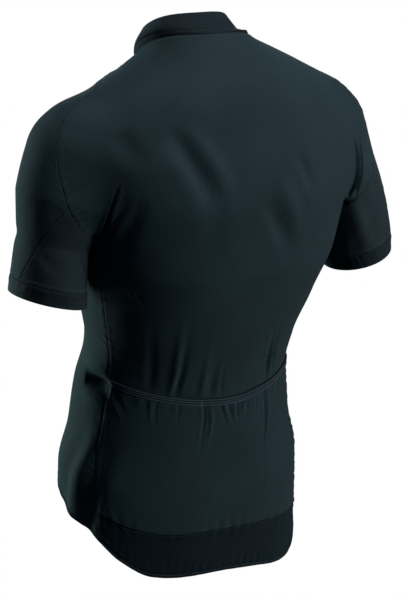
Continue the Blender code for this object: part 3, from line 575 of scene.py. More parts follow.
# creases are soft troughs (height below 0) and ridges, each with its own length, width and height in metres
# on the trunk: angle and level at the start, middle and end, width, height, and the share of the length
# where it is deepest
trunkCreases = [
    # left armpit
    (22, -0.138, 19, -0.173, 13, -0.216, 0.0030, -0.0050, 0.60),
    (11, -0.212, 11, -0.227, 13, -0.242, 0.0040, -0.0034, 0.50),
    (26, -0.148, 23, -0.173, 17, -0.200, 0.0050, -0.0015, 0.60),
    (32, -0.150, 27, -0.188, 19, -0.240, 0.0130, -0.0030, 0.60),
    (23.5, -0.136, 20.5, -0.168, 14.5, -0.206, 0.0024, 0.0011, 0.50),
    # shoulder blades
    (36, -0.070, 47, -0.101, 61, -0.160, 0.0160, -0.0044, 0.60),
    (56, -0.138, 61, -0.176, 58, -0.232, 0.0190, -0.0012, 0.45),
    (43, -0.068, 58, -0.102, 70, -0.152, 0.0150, 0.0026, 0.50),
    (18, -0.078, 24, -0.095, 32, -0.112, 0.0160, -0.0018, 0.50),
    (89, -0.152, 101, -0.196, 111, -0.234, 0.0150, -0.0032, 0.55),
    (101, -0.130, 108, -0.171, 116, -0.212, 0.0140, 0.0022, 0.50),
    (115, -0.110, 119, -0.133, 123, -0.160, 0.0100, -0.0024, 0.50),
    # above the pockets
    (50, -0.280, 50, -0.360, 51, -0.442, 0.0066, 0.0020, 0.75),
    (55, -0.295, 54, -0.380, 54, -0.444, 0.0062, -0.0021, 0.78),
    (67, -0.310, 70, -0.388, 73, -0.446, 0.0058, 0.0018, 0.78),
    (75, -0.335, 78, -0.398, 81, -0.450, 0.0062, -0.0017, 0.80),
    (84, -0.386, 87, -0.415, 90, -0.450, 0.0034, -0.0013, 0.70),
    (35, -0.300, 36, -0.370, 38, -0.432, 0.0080, -0.0016, 0.70),
    (122, -0.322, 130, -0.384, 139, -0.446, 0.0046, -0.0024, 0.70),
    (118, -0.342, 126, -0.392, 132, -0.448, 0.0042, -0.0022, 0.70),
    (123, -0.330, 128, -0.387, 135, -0.447, 0.0036, 0.0016, 0.70),
    (25, -0.267, 27, -0.281, 30, -0.295, 0.0050, 0.0008, 0.50),
    # left side, at the waist and below it
    (-1, -0.433, 9, -0.432, 19, -0.434, 0.0160, -0.0120, 0.52),
    (15, -0.480, 8, -0.560, -3, -0.690, 0.0170, 0.0040, 0.60),
    (21, -0.500, 17, -0.580, 9, -0.700, 0.0160, -0.0046, 0.62),
    (-26, -0.300, -20, -0.350, -12, -0.405, 0.0110, -0.0020, 0.55),
    # right side, at the waist and below it
    (160, -0.436, 176, -0.438, 194, -0.452, 0.0085, -0.0050, 0.45),
    (166, -0.480, 172, -0.540, 180, -0.606, 0.0120, 0.0034, 0.45),
    (205, -0.305, 199, -0.350, 190, -0.410, 0.0120, -0.0022, 0.50),
    (158, -0.330, 164, -0.375, 172, -0.425, 0.0070, -0.0018, 0.60),
    # front, from the armpits
    (-27, -0.146, -25, -0.180, -19, -0.216, 0.0048, -0.0030, 0.70),
    (-37, -0.152, -32, -0.182, -25, -0.208, 0.0068, -0.0020, 0.60),
    (208, -0.146, 206, -0.180, 200, -0.216, 0.0048, -0.0032, 0.70),
    (218, -0.158, 213, -0.186, 206, -0.212, 0.0070, -0.0018, 0.60),
    (-78, -0.105, -64, -0.118, -48, -0.122, 0.0140, -0.0022, 0.50),
    (257, -0.112, 244, -0.122, 229, -0.124, 0.0130, -0.0020, 0.50),
    # front, at the belly
    (-62, -0.300, -59, -0.370, -57, -0.452, 0.0080, 0.0018, 0.60),
    (-50, -0.325, -48, -0.390, -46, -0.468, 0.0080, -0.0022, 0.60),
    (241, -0.310, 238, -0.380, 235, -0.462, 0.0080, -0.0020, 0.60),
    (229, -0.336, 226, -0.400, 222, -0.470, 0.0070, 0.0018, 0.60),
    (-84, -0.404, -72, -0.418, -60, -0.428, 0.0090, -0.0020, 0.30),
    (264, -0.396, 252, -0.412, 239, -0.420, 0.0090, -0.0020, 0.30),
    (-85, -0.476, -74, -0.484, -66, -0.500, 0.0080, -0.0015, 0.30),
    (265, -0.486, 255, -0.498, 246, -0.506, 0.0080, -0.0016, 0.30)]
# on a sleeve: side, then station and angle at the start, middle and end, and the same three sizes
sleeveCreases = [
    ("right", 0.03, 92, 0.21, 97, 0.46, 115, 0.0030, -0.0080, 0.52),
    ("right", 0.08, 78, 0.25, 86, 0.47, 105, 0.0028, -0.0076, 0.50),
    ("right", 0.07, 85, 0.23, 91.5, 0.46, 110, 0.0022, 0.0032, 0.50),
    ("right", 0.42, 110, 0.66, 108, 0.92, 106, 0.0150, 0.0044, 0.50),
    ("right", 0.44, 148, 0.66, 148, 0.90, 147, 0.0160, -0.0032, 0.50),
    ("right", 0.38, 70, 0.50, 73, 0.62, 82, 0.0060, -0.0012, 0.50),
    ("right", 0.60, 60, 0.70, 92, 0.82, 125, 0.0070, -0.0016, 0.55),
    ("right", 0.25, -60, 0.38, -66, 0.52, -84, 0.0080, -0.0018, 0.50),
    ("right", 0.56, -30, 0.68, -52, 0.80, -84, 0.0080, -0.0016, 0.50),
    ("left", 0.12, 74, 0.27, 58, 0.42, 48, 0.0090, -0.0013, 0.50),
    ("left", 0.58, 24, 0.69, 50, 0.80, 84, 0.0090, -0.0008, 0.55),
    ("left", 0.60, 96, 0.72, 112, 0.84, 134, 0.0060, -0.0018, 0.50),
    ("left", 0.24, -58, 0.36, -68, 0.50, -88, 0.0080, -0.0018, 0.50),
    ("left", 0.55, -28, 0.66, -54, 0.80, -80, 0.0075, -0.0015, 0.50)]
# gathers that only the pocket bag has, under its elastic
bagGathers = [
    (74, -0.453, 76, -0.482, 71, -0.540, 0.0036, -0.0016, 0.25),
    (79, -0.453, 82, -0.486, 77, -0.524, 0.0038, 0.0016, 0.30),
    (88, -0.456, 92, -0.472, 96, -0.492, 0.0026, -0.0013, 0.30),
    (92, -0.457, 95, -0.472, 98, -0.488, 0.0026, 0.0011, 0.30),
    (96, -0.458, 99, -0.475, 102, -0.492, 0.0025, -0.0013, 0.30),
    (105, -0.459, 105, -0.473, 106, -0.490, 0.0025, -0.0012, 0.30),
    (101, -0.459, 102, -0.470, 103, -0.484, 0.0025, 0.0010, 0.30),
    (114, -0.460, 114, -0.475, 113, -0.488, 0.0024, -0.0011, 0.30),
    (110, -0.460, 110, -0.472, 110, -0.483, 0.0024, 0.0009, 0.30),
    (122, -0.461, 122, -0.475, 121, -0.487, 0.0024, -0.0010, 0.30),
    (129, -0.460, 130, -0.501, 126, -0.534, 0.0034, -0.0019, 0.25),
    (133, -0.459, 133, -0.490, 130, -0.520, 0.0036, 0.0012, 0.30),
    (43, -0.444, 43, -0.463, 44, -0.484, 0.0030, -0.0009, 0.30),
    (40, -0.443, 40, -0.460, 41, -0.478, 0.0030, 0.0008, 0.30),
    (57, -0.449, 57, -0.462, 56, -0.476, 0.0028, -0.0007, 0.30),
    (20, -0.434, 24, -0.448, 29, -0.468, 0.0036, -0.0010, 0.40),
    (19, -0.446, 23, -0.459, 27, -0.478, 0.0036, 0.0009, 0.40),
    (145, -0.448, 143, -0.466, 142, -0.488, 0.0034, -0.0011, 0.30),
    (153, -0.444, 150, -0.462, 148, -0.484, 0.0034, -0.0009, 0.30)]


# a crease's points, how many widths from its line it is felt, the swell on both sides, and how full its
# ends are
creaseSet = dict(points=15, reach=3, swell=1.1, ends=0.8)


def creaseLine(kind, row):
    t = np.linspace(0, 1, creaseSet["points"])

    def bent(a, b, c):
        return a * (1 - t) * (1 - 2 * t) + b * 4 * t * (1 - t) + c * t * (2 * t - 1)

    first, second = bent(*row[0:6:2]), bent(*row[1:6:2])
    if kind == "trunk":
        line = drawnOnto(bodyForm, girthPoint(first, second), 3)
    else:
        line = drawnOnto(sleeveForm(kind), sleevePoint(kind, first, second), 3)
    width, height, deepest = row[6:]
    return line, width, height, math.log(0.5) / math.log(deepest)


def creaseHeight(points, lines):
    c, total = creaseSet, np.zeros(len(points))
    for line, width, height, power in lines:
        low, high = line.min(0) - c["reach"] * width, line.max(0) + c["reach"] * width
        near = np.nonzero(((points > low) & (points < high)).all(1))[0]
        if not len(near):
            continue
        p = points[near]
        best, share = np.full(len(p), 9.0), np.zeros(len(p))
        for i, (a, b) in enumerate(zip(line, line[1:])):
            ab = b - a
            t = np.clip((p - a) @ ab / (ab @ ab), 0, 1)
            d = np.linalg.norm(p - a - t[:, None] * ab, axis=1)
            closer = d < best
            best[closer], share[closer] = d[closer], (i + t[closer]) / (len(line) - 1)
        x = (best / width) ** 2
        along = np.sin(math.pi * np.clip(share, 0.01, 0.99) ** power) ** c["ends"]
        total[near] += height * (1 - c["swell"] * x) * np.exp(-x) * along
    return total


creases = [creaseLine("trunk", row) for row in trunkCreases]
creases += [creaseLine(side, row) for side, *row in sleeveCreases]
gathers = [creaseLine("trunk", row) for row in bagGathers]
# small unevenness: waves all over the cloth, and puckers along the seams
wrinkleSet = dict(seed=7, slack=0.00028, slackSizes=(0.011, 0.028), slackWaves=8, pucker=0.00022,
                  puckerLengths=(0.007, 0.022), puckerWaves=4)
fullTurn = 6.28  # in radians, near enough for waves


def slackWaves():
    w, r = wrinkleSet, np.random.default_rng(wrinkleSet["seed"])
    return [(unit(r.normal(size=3)) / r.uniform(*w["slackSizes"]), r.uniform(0, fullTurn))
            for _ in range(w["slackWaves"])]


waves = slackWaves()


def slack(points):
    return wrinkleSet["slack"] * sum(np.sin(points @ way + start) for way, start in waves)


def puckered(run, seed):
    w, r = wrinkleSet, np.random.default_rng(seed)
    return w["pucker"] * sum(np.sin(run * fullTurn / r.uniform(*w["puckerLengths"]) + r.uniform(0, fullTurn))
                             for _ in range(w["puckerWaves"]))


print("creases laid out")


def edgeSteps(last, step=1.0, ranges=()):  # ranges: from, to and the step between them
    inner = np.arange(1, last - 0.9, step)
    for low, high, size in ranges:
        finer = np.arange(max(low, 1), min(high, last - 1) + 0.01, size)
        inner = np.concatenate([inner[(inner <= low) | (inner >= high)], finer])
    ends = (0, 0.1, 0.25, 0.5)
    return np.unique(np.round([*ends, *inner, *(last - end for end in ends)], 3))


def sampled(grid, rows, columns):
    def along(g, at, axis):
        i = np.minimum(at.astype(int), g.shape[axis] - 2)
        f = (at - i).reshape([-1 if k == axis else 1 for k in range(g.ndim)])
        return np.take(g, i, axis) * (1 - f) + np.take(g, i + 1, axis) * f
    return along(along(grid, rows, 0), columns, 1)


cutSet = dict(easing=0.28, coarseEvery=8, coarseRounds=1500, fineRounds=120)


def relaxed(flat, grid, rounds):  # a flat cut whose edges and diagonals keep their lengths
    early, late, every = slice(None, -1), slice(1, None), slice(None)
    pairs = [((late, every), (early, every)), ((every, late), (every, early)), ((late, late), (early, early)),
             ((late, early), (early, late))]
    whole = [np.linalg.norm(grid[a] - grid[b], axis=-1) for a, b in pairs]
    for _ in range(rounds):
        push = np.zeros_like(flat)
        for (a, b), size in zip(pairs, whole):
            d = flat[a] - flat[b]
            now = np.maximum(np.linalg.norm(d, axis=-1), 1e-9)
            step = (0.5 * (1 - size / now))[..., None] * d
            push[a] -= step
            push[b] += step
        flat = flat + cutSet["easing"] * push
    return flat


def flatCut(grid):
    up, across = lengths(grid, 0), lengths(grid, 1)
    flat = np.stack([across - across[:, across.shape[1] // 2, None], up], -1)
    at = [np.linspace(0, n - 1, max(3, n // cutSet["coarseEvery"] + 1)) for n in grid.shape[:2]]
    coarse = relaxed(sampled(flat, *at), sampled(grid, *at), cutSet["coarseRounds"])
    back = [np.interp(np.arange(n), a, np.arange(len(a))) for n, a in zip(grid.shape[:2], at)]
    return relaxed(sampled(coarse, *back), grid, cutSet["fineRounds"])


def lengths(grid, axis):
    d = np.linalg.norm(np.diff(grid, axis=axis), axis=-1)
    return np.concatenate([np.zeros_like(np.take(d, [0], axis)), np.cumsum(d, axis)], axis)


surfaces = {}
# a seam: how far its rounded edge reaches, then where the swell beside it is, how wide and how high; the share
# of a fold where its curve starts, and the angle from which an edge is sharp
seamSet = dict(edge=0.0013, swellAt=0.0042, swellWidth=0.0022, swell=0.00034, foldFrom=0.06, sharp=50)


def wallFaces(r, c, closed):  # outer side, inner side, then the edges between them
    n, spans = r * c, c if closed else c - 1

    def ring(a, b, d, e):
        return np.stack([a, b, d, e], -1).reshape(-1, 4)

    i, j = np.meshgrid(np.arange(r - 1), np.arange(spans), indexing="ij")
    a, b, d, e = i * c + j, i * c + (j + 1) % c, (i + 1) * c + (j + 1) % c, (i + 1) * c + j
    j, top = np.arange(spans), (r - 1) * c
    k = (j + 1) % c
    faces = [ring(a, b, d, e), ring(n + a, n + e, n + d, n + b), ring(j, n + j, n + k, k),
             ring(top + j, top + k, n + top + k, n + top + j)]
    if not closed:
        i = np.arange(r - 1)
        a, b, end = i * c, (i + 1) * c, c - 1
        faces += [ring(a, b, n + b, n + a), ring(a + end, n + a + end, n + b + end, b + end)]
    return np.vstack(faces)


def cutPlaces(flat, faces, across, closed):  # each face corner's place on the flat cut
    c = across.shape[1]
    places = np.vstack([flat.reshape(-1, 2)] * 2)[faces.reshape(-1)]
    if closed:  # the last faces of a ring close onto its first column
        whole = across[:, -1].mean() * c / (c - 1)
        last = np.repeat((faces % c == c - 1).any(1) & (faces % c == 0).any(1), 4)
        places[last & (faces.reshape(-1) % c == 0), 0] += whole
    return places.astype(np.float32).reshape(-1)


# a thin wall from a grid of points, rounded off at its edges; folded edges close over in half a circle
def shell(name, grid, normals, look, nodes, thickness=0.0012, closed=False, extra=None, folded=(),
          drop=0.0005, lift=0.0, puckers=1.0, more=(), step=1.0, rowRanges=(), columnRanges=(), strip=False):
    e = seamSet
    last = grid.shape[0] - 1, grid.shape[1] - 1
    rows = edgeSteps(last[0], ranges=rowRanges)
    columns = np.arange(last[1] + 1.0) if closed else edgeSteps(last[1], step, columnRanges)
    flat = None if closed or strip else sampled(flatCut(grid), rows, columns)
    grid, normals = sampled(grid, rows, columns), unit(sampled(normals, rows, columns))
    up, across = lengths(grid, 0), lengths(grid, 1)
    if flat is None:
        flat = np.stack([across / across[:, -1:] * across[:, -1].mean(), up], -1)
    sides = {"bottom": up, "top": up[-1] - up}
    if not closed:
        sides.update(first=across, last=across[:, -1:] - across)
    height, sunk = np.full(grid.shape[:2], lift), np.zeros(grid.shape[:2])
    for i, (key, d) in enumerate(sides.items()):
        if key in folded:
            half = thickness / 2
            sunk += half - half * np.sqrt(1 - (1 - np.clip(d / half, e["foldFrom"], 1)) ** 2)
            continue
        height -= drop * (1 - np.clip(d / e["edge"], 0, 1)) ** 2
        near = d / e["swellAt"]
        height += puckers * e["swell"] * np.exp(-((d - e["swellAt"]) / e["swellWidth"]) ** 2)
        height += puckers * puckered(across if i < 2 else up, len(name) + i) * near * np.exp(1 - near)
    points = grid.reshape(-1, 3)
    height += (creaseHeight(points, creases + list(more)) + slack(points)).reshape(height.shape)
    if extra is not None:
        height += extra(sides)
    outer = grid + normals * (height - sunk)[..., None]
    inner = grid + normals * (height - thickness + sunk)[..., None]
    faces = wallFaces(*outer.shape[:2], closed)
    mesh = bpy.data.meshes.new(name)
    mesh.from_pydata(np.vstack([outer.reshape(-1, 3), inner.reshape(-1, 3)]).tolist(), [], faces.tolist())
    mesh.uv_layers.new(name="cut").data.foreach_set("uv", cutPlaces(flat, faces, across, closed))
    mesh.shade_smooth()
    mesh.set_sharp_from_angle(angle=math.radians(e["sharp"]))
    mesh.materials.append(cloths[look])
    thing = inScene(name, mesh)
    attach(thing, "jersey")
    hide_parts(*nodes)
    surfaces[name] = (outer, normals)
    upward, sideways = outer[1:, :-1] - outer[:-1, :-1], outer[:-1, 1:] - outer[:-1, :-1]
    area = np.linalg.norm(np.cross(upward, sideways), axis=-1).sum()
    print(name, "width %.3f length %.3f area %.4f" % (across[:, -1].max(), up[-1].max(), area))


def trunkShell(name, grid, look, nodes, **more):
    shell(name, grid, gradient(bodyForm, grid), look, nodes, **more)


def stacked(*grids):
    return np.vstack([grids[0]] + [g[1:] for g in grids[1:]])


# the back with its pocket bag and elastic; rows are finer below and above the armpits' level and columns
# are finer near both side seams, by so many coarse ones
backSet = dict(elasticHeight=0.0104, elasticThick=0.0018, elasticLift=0.0006, elasticRows=37, ribs=3,
               ribHeight=0.00050, bagThick=0.0009, bagLift=0.0015, bagGap=0.0004, bagTuck=0.0005,
               tuckReach=0.008, armpitRows=(4, 24), sideColumns=(24, 20), finer=0.5)


def makeBack(left, right):
    low, mid = steps["band"] * fine, (steps["band"] + steps["pocket"]) * fine
    columns = steps["backNeck"] + 2 * steps["shoulder"]
    sides = [s["sideBack"] for s in (left, right)]
    hem = roundTrunk(hemLine, sides[0][0], sides[1][0], columns, edgeHeight)
    seam = roundTrunk(bandSeam, sides[0][low], sides[1][low], columns)
    pocket = roundTrunk(pocketTop, sides[0][mid], sides[1][mid], columns)
    cut = steps["frontNeck"] * fine
    top = np.vstack([left["shoulder"], neck[cut:-cut][1:-1], right["shoulder"][::-1]])
    edges = [np.vstack([s["sideBack"][mid:], s["armholeBack"][1:]]) for s in (left, right)]
    band = panel(hem, seam, sides[0][:low + 1], sides[1][:low + 1], bodyForm)
    lower = panel(seam, pocket, sides[0][low:mid + 1], sides[1][low:mid + 1], bodyForm)
    upper = panel(pocket, top, edges[0], edges[1], bodyForm)
    b = backSet
    armpit, across = (steps["pocket"] + steps["side"]) * fine, columns * fine
    (rowsBelow, rowsAbove), (atLeft, atRight), finer = b["armpitRows"], b["sideColumns"], b["finer"]
    underBag = (1, (steps["pocket"] - 1) * fine, 2)  # coarser where the pocket bag hides the back
    trunkShell("backPanel", stacked(lower, upper), "eyeletKnit", ["back"],
               rowRanges=[underBag, (armpit - rowsBelow, armpit + rowsAbove, finer)],
               columnRanges=[(0, atLeft, finer), (across - atRight, across, finer)])
    trunkShell("tailBand", band, "denseKnit", ["hem_band_back"])
    reach = b["elasticHeight"] / 2
    run = lengths(lower, 0)
    keep = (run[-1] - run).mean(1) > reach + b["bagGap"]
    below = lower[-1] + reach * unit(lower[-2] - lower[-1])
    bagGrid = np.concatenate([lower[keep], below[None]])

    def tucked(sides):  # the bag comes down to the seams that hold it
        near = np.minimum(np.minimum(sides["first"], sides["last"]), sides["bottom"])
        return -b["bagTuck"] * (1 - np.clip(near / b["tuckReach"], 0, 1)) ** 2

    trunkShell("pocketBag", bagGrid, "eyeletKnit", ["pocket_bag"], thickness=b["bagThick"], lift=b["bagLift"],
               extra=tucked, more=gathers, step=finer)
    above = lower[-1] + reach * unit(upper[1] - upper[0])
    strip = np.stack([below + (above - below) * t for t in np.linspace(0, 1, b["elasticRows"])])

    def threeRibs(sides):
        turns = sides["bottom"] / b["elasticHeight"] * b["ribs"]
        return b["ribHeight"] * np.cos(turns * fullTurn - fullTurn / 2)

    trunkShell("pocketElastic", strip, "elasticBand", ["pocket_elastic"], thickness=b["elasticThick"],
               lift=b["bagLift"] + b["elasticLift"], folded=("top", "bottom"), puckers=0, extra=threeRibs,
               strip=True)
    return hem


def makeSide(side, s):
    first, last, top = s["sideFront"], s["sideBack"], s["underarm"][::-1]
    if side == "right":
        first, last, top = last, first, top[::-1]
    hem = roundTrunk(hemLine, first[0], last[0], steps["underarm"], edgeHeight)
    trunkShell("sidePanel_" + side, panel(hem, top, first, last, bodyForm), "sideKnit", ["side_" + side])
    return hem


def makeFront(side, s):
    outer = np.vstack([s["sideFront"], s["armholeFront"][::-1][1:]])
    cut = steps["frontNeck"] * fine
    part = neck[:cut + 1] if side == "left" else neck[-1 - cut:]
    shoulder = s["shoulder"][::-1]
    x, end = (zipEdge, part[0]) if side == "left" else (-zipEdge, part[-1])
    inner = frontEdge(x, float(table(hemLine, -90)[0]) + edgeHeight, end[2], len(outer) - 1)
    inner[-1] = end
    if side == "left":
        a, b, top = inner, outer, np.vstack([part, shoulder[1:]])
    else:
        a, b, top = outer, inner, np.vstack([shoulder[::-1], part[1:]])
    hem = roundTrunk(hemLine, a[0], b[0], (len(top) - 1) // fine, edgeHeight)
    trunkShell("frontPanel_" + side, panel(hem, top, a, b, bodyForm), "eyeletKnit", ["front_" + side])
    return hem


hems = [makeFront("left", seams["left"]), makeSide("left", seams["left"]),
        makeBack(seams["left"], seams["right"]), makeSide("right", seams["right"]),
        makeFront("right", seams["right"])]
print("trunk panels made")

edgingRows, edgingSet = 9, dict(thickness=0.0022, lift=0.0003, puckers=0.3)


def makeEdging():
    top = stacked(*hems)
    low = drawnOnto(bodyForm, top - np.array([0, 0, edgeHeight]))
    low[[0, -1], 0] = top[[0, -1], 0]
    grid = np.stack([low + (top - low) * t for t in np.linspace(0, 1, edgingRows)])
    trunkShell("hemEdging", grid, "denseKnit", ["hem_edging"], folded=("bottom",), strip=True, **edgingSet)


makeEdging()

sleeveSet, cuffSet = dict(puckers=0.4, loose=0.0004, cuffRows=15), dict(thickness=0.0018, lift=0.0003)


def makeSleeve(side, s):
    form = sleeveForm(side)
    back, front = s["armholeBack"], s["armholeFront"]
    low, high = steps["lowBack"] * fine, (steps["armhole"] - steps["lowFront"]) * fine
    backCorner, frontCorner = low + steps["capSide"] * fine, high - steps["capSide"] * fine
    cap = np.vstack([front[frontCorner::-1], back[:backCorner - 1:-1][1:]])
    under = np.vstack([back[low::-1], s["underarm"][1:], front[:high - 1:-1][1:]])
    under = offTrunk(under, sleeveSet["loose"])

    def seamLine(rows, start):
        stations, angles = (np.array(c) for c in zip(*rows))
        guides = sleevePoint(side, stations, angles)
        guides[0] = start
        line = curveThrough(guides[::-1], steps["sleeve"] * fine)
        line[1:-1] = drawnOnto(form, line[1:-1])
        return line

    backSeam, frontSeam = seamLine(sleeveSeamBack, back[low]), seamLine(sleeveSeamFront, front[high])
    b, f = sleeveSeamBack[-1][1], sleeveSeamFront[-1][1]
    turns = np.linspace(f, b, len(cap)), np.linspace(b, f + 360, len(under))
    cuffOver, cuffUnder = (sleevePoint(side, np.full(len(a), cuffStart), a) for a in turns)
    upper = panel(cuffOver, cap, np.vstack([frontSeam, front[frontCorner:high][::-1]]),
                  np.vstack([backSeam, back[low + 1:backCorner + 1]]), form)
    lower = panel(cuffUnder, under, backSeam, frontSeam, form, keepOff=underarmGap)
    angles = np.concatenate([turns[0][:-1], turns[1][:-1]])
    stations = np.linspace(1.0, cuffStart, sleeveSet["cuffRows"])
    cuff = np.stack([sleevePoint(side, np.full(len(angles), t), angles) for t in stations])
    around = unit(np.cross(np.roll(cuff, -1, 1) - np.roll(cuff, 1, 1), np.gradient(cuff, axis=0)))
    if side == "right":
        upper, lower, cuff, around = upper[:, ::-1], lower[:, ::-1], cuff[:, ::-1], -around[:, ::-1]
    for name, grid, look, cad in (("sleeveUpper_", upper, "eyeletKnit", "sleeve_upper_"),
                                  ("sleeveUnder_", lower, "smoothKnit", "sleeve_under_")):
        shell(name + side, grid, gradient(form, grid), look, [cad + side], puckers=sleeveSet["puckers"])
    shell("cuff_" + side, cuff, around, "ribKnit", ["cuff_" + side], closed=True, folded=("bottom",),
          **cuffSet)


makeSleeve("left", seams["left"])
makeSleeve("right", seams["right"])
print("sleeves made")

# collar: one cloth folded double at the top, with a raised strip below a sewn line
collarSet = dict(thick=0.0022, rows=29, drop=0.0002, puckers=0.4, foldHeight=0.0066, foldRaise=0.0003,
                 foldWidth=0.0026, lineDepth=0.0007, lineWidth=0.0008, fade=6)


def outwards(grid):
    return unit(np.cross(np.gradient(grid, axis=1), np.gradient(grid, axis=0)))


def makeCollar():
    c, rings = collarSet, []
    heights = np.linspace(0, 1, c["rows"])
    for v in heights:
        ring = neck.copy() if v == 0 else collarPoint(ringAt(v), collarAngles(ringAt(v)))
        ring[[0, -1], 0] = zipEdge, -zipEdge
        rings.append(ring)
    grid = np.stack(rings)
    fade = np.clip(1 - heights * c["fade"], 0, 1)[:, None, None]  # the lowest rows lie as the shoulders do
    normals = unit(outwards(grid) * (1 - fade) + gradient(bodyForm, neck)[None] * fade)

    def foldedStrip(sides):
        d, at = sides["bottom"], c["foldHeight"]
        strip = c["foldRaise"] * np.exp(-((d - at / 2) / c["foldWidth"]) ** 2)
        return strip - c["lineDepth"] * np.exp(-((d - at) / c["lineWidth"]) ** 2)

    shell("collarBand", grid, normals, "ribKnit", ["collar"], thickness=c["thick"], folded=("top",),
          drop=c["drop"], puckers=c["puckers"], extra=foldedStrip)


makeCollar()
print("collar made")

zipSet = dict(tapeInner=0.0018, tapeGap=0.0001, tapeThick=0.0009, tapeDrop=-0.0008, tapeEdge=0.0002,
              tapeRows=120, pitch=0.0014, toothShare=0.55, toothWidth=0.0042, toothThick=0.0014,
              toothRows=160, toothAside=0.00115, toothOut=0.0007, boxHeight=0.0074)


def zipLine(x, low, rows):
    trunk = frontEdge(x, low, float(collarPoint(ringAt(0), -90.0)[2]), rows)
    rings = [ringAt(v) for v in np.linspace(0, 1, 9)[1:]]
    collar = np.array([collarPoint(ring, frontAngle(ring, x or 0.0001)) for ring in rings])
    collar[:, 0] = x
    return np.vstack([trunk, collar])


zipLow = float(table(hemLine, -90)[0])


def makeTape(side):
    z = zipSet
    xs = np.linspace(z["tapeInner"], zipEdge - z["tapeGap"], 5)
    xs = xs if side == "left" else -xs[::-1]
    grid = np.stack([zipLine(x, zipLow, z["tapeRows"]) for x in xs], 1)
    shell("zipTape_" + side, grid, outwards(grid), "zipWeave", ["zip_tape_" + side], thickness=z["tapeThick"],
          lift=z["tapeDrop"], drop=z["tapeEdge"], puckers=0, strip=True)


makeTape("left")
makeTape("right")

repeatShapes = dict(stitch=("GeometryNodeMeshIcoSphere", {"Radius": 0.5, "Subdivisions": 1}),
                    tooth=("GeometryNodeMeshCylinder", {"Vertices": 6, "Radius": 0.5, "Depth": 1.0}))


# what repeats along a line: a small shape set at every pitch and turned along it
def repeatTree(kind):
    t = bpy.data.node_groups.new(kind + "Along", "GeometryNodeTree")
    addSockets(t, "INPUT", "Geometry", "Geometry")
    addSockets(t, "INPUT", "Float", "Pitch", "Length", "Width", "Depth")
    addSockets(t, "INPUT", "Material", "Material")
    addSockets(t, "OUTPUT", "Geometry", "Geometry")
    given = node(t, "NodeGroupInput", (-900, 0)).outputs
    curve = node(t, "GeometryNodeMeshToCurve", (-700, 0), {0: given["Geometry"]})
    points = node(t, "GeometryNodeCurveToPoints", (-500, 0), {"Curve": curve, "Length": given["Pitch"]},
                  mode="LENGTH").outputs
    size = node(t, "ShaderNodeCombineXYZ", (-200, -300),
                {0: given["Width"], 1: given["Depth"], 2: given["Length"]})
    shapeKind, shapeSizes = repeatShapes[kind]
    shape = node(t, shapeKind, (-200, -100), shapeSizes).outputs["Mesh"]
    placed = node(t, "GeometryNodeInstanceOnPoints", (100, 0),
                  {"Points": points["Points"], "Rotation": points["Rotation"], "Instance": shape,
                   "Scale": size})
    real = node(t, "GeometryNodeRealizeInstances", (300, 0), {0: placed})
    painted = node(t, "GeometryNodeSetMaterial", (600, 0), {"Geometry": real, "Material": given["Material"]})
    node(t, "NodeGroupOutput", (900, 0), {0: painted})
    return t


trees = {kind: repeatTree(kind) for kind in repeatShapes}


def repeated(name, lines, kind, material, sizes, nodes=()):
    mesh = bpy.data.meshes.new(name)
    points, edges = [], []
    for line in lines:
        start = len(points)
        points += [tuple(p) for p in line]
        edges += [(start + i, start + i + 1) for i in range(len(line) - 1)]
    mesh.from_pydata(points, edges, [])
    thing = inScene(name, mesh)
    made = thing.modifiers.new("along", "NODES")
    made.node_group = trees[kind]
    values = {"Material": material, **{key.capitalize(): size for key, size in sizes.items()}}
    for item in trees[kind].interface.items_tree:
        if item.in_out == "INPUT" and item.name in values:
            made[item.identifier] = values[item.name]
    bpy.context.view_layer.update()
    graph = bpy.context.evaluated_depsgraph_get()
    plain = bpy.data.meshes.new_from_object(thing.evaluated_get(graph))
    thing.modifiers.clear()
    thing.data = plain
    plain.name = name
    plain.shade_smooth()
    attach(thing, "jersey")
    if nodes:
        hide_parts(*nodes)
    print(name, len(plain.polygons), "faces")


# stitches: their sizes, how high the thread lies, and how far each row is from its piece's edge; the rows
# along the back's sides start at this share of their length
stitchSize = dict(length=0.0024, pitch=0.0031, width=0.00055, depth=0.0005)
stitchRows = dict(thread=0.0001, single=0.0022, underSleeve=0.0018, cuffSeam=(0.0024, 0.0054),
                  backSide=0.0026, backFrom=0.25, frontSide=(0.0022, 0.0052), cuffEdge=0.0040,
                  bagSide=(0.0024, 0.0056), bandTop=0.0026, edgingTop=0.0010, collarTop=0.0036)
# the two lines that divide the pocket, and the bartack at the top of each: angle and level, and its own sizes
pocketLines = [(73, -0.457, 71, -0.520, 69, -0.628), (131, -0.458, 129, -0.530, 125, -0.638)]
bartackSize = dict(pitch=0.0007, length=0.0010, width=0.0016, depth=0.0006)
bartackSet = dict(level=-0.4515, reach=0.0042, aside=0.0007, radius=0.09, lineLift=0.0002, lift=0.0010)


def inset(name, side, distance, start=0.0):  # a line at this distance from one side of a piece
    outer, normals = surfaces[name]
    if side == "top":
        outer, normals = outer[::-1], normals[::-1]
    if side == "last":
        outer, normals = outer[:, ::-1], normals[:, ::-1]
    if side in ("first", "last"):
        outer, normals = outer.swapaxes(0, 1), normals.swapaxes(0, 1)
    run = lengths(outer, 0)
    line = []
    for j in range(int(start * (outer.shape[1] - 1)), outer.shape[1]):
        p, n = (np.array([np.interp(distance, run[:, j], values[:, j, k]) for k in range(3)])
                for values in (outer, normals))
        line.append(p + stitchRows["thread"] * n)
    return line


def overTrunk(route, raised):  # the last three values of a crease's row aren't used for a line
    line = curveThrough(creaseLine("trunk", [*route, 1, 1, 0.5])[0], 120)
    height = creaseHeight(line, creases + gathers) + slack(line) + raised
    return line + gradient(bodyForm, line) * height[:, None]


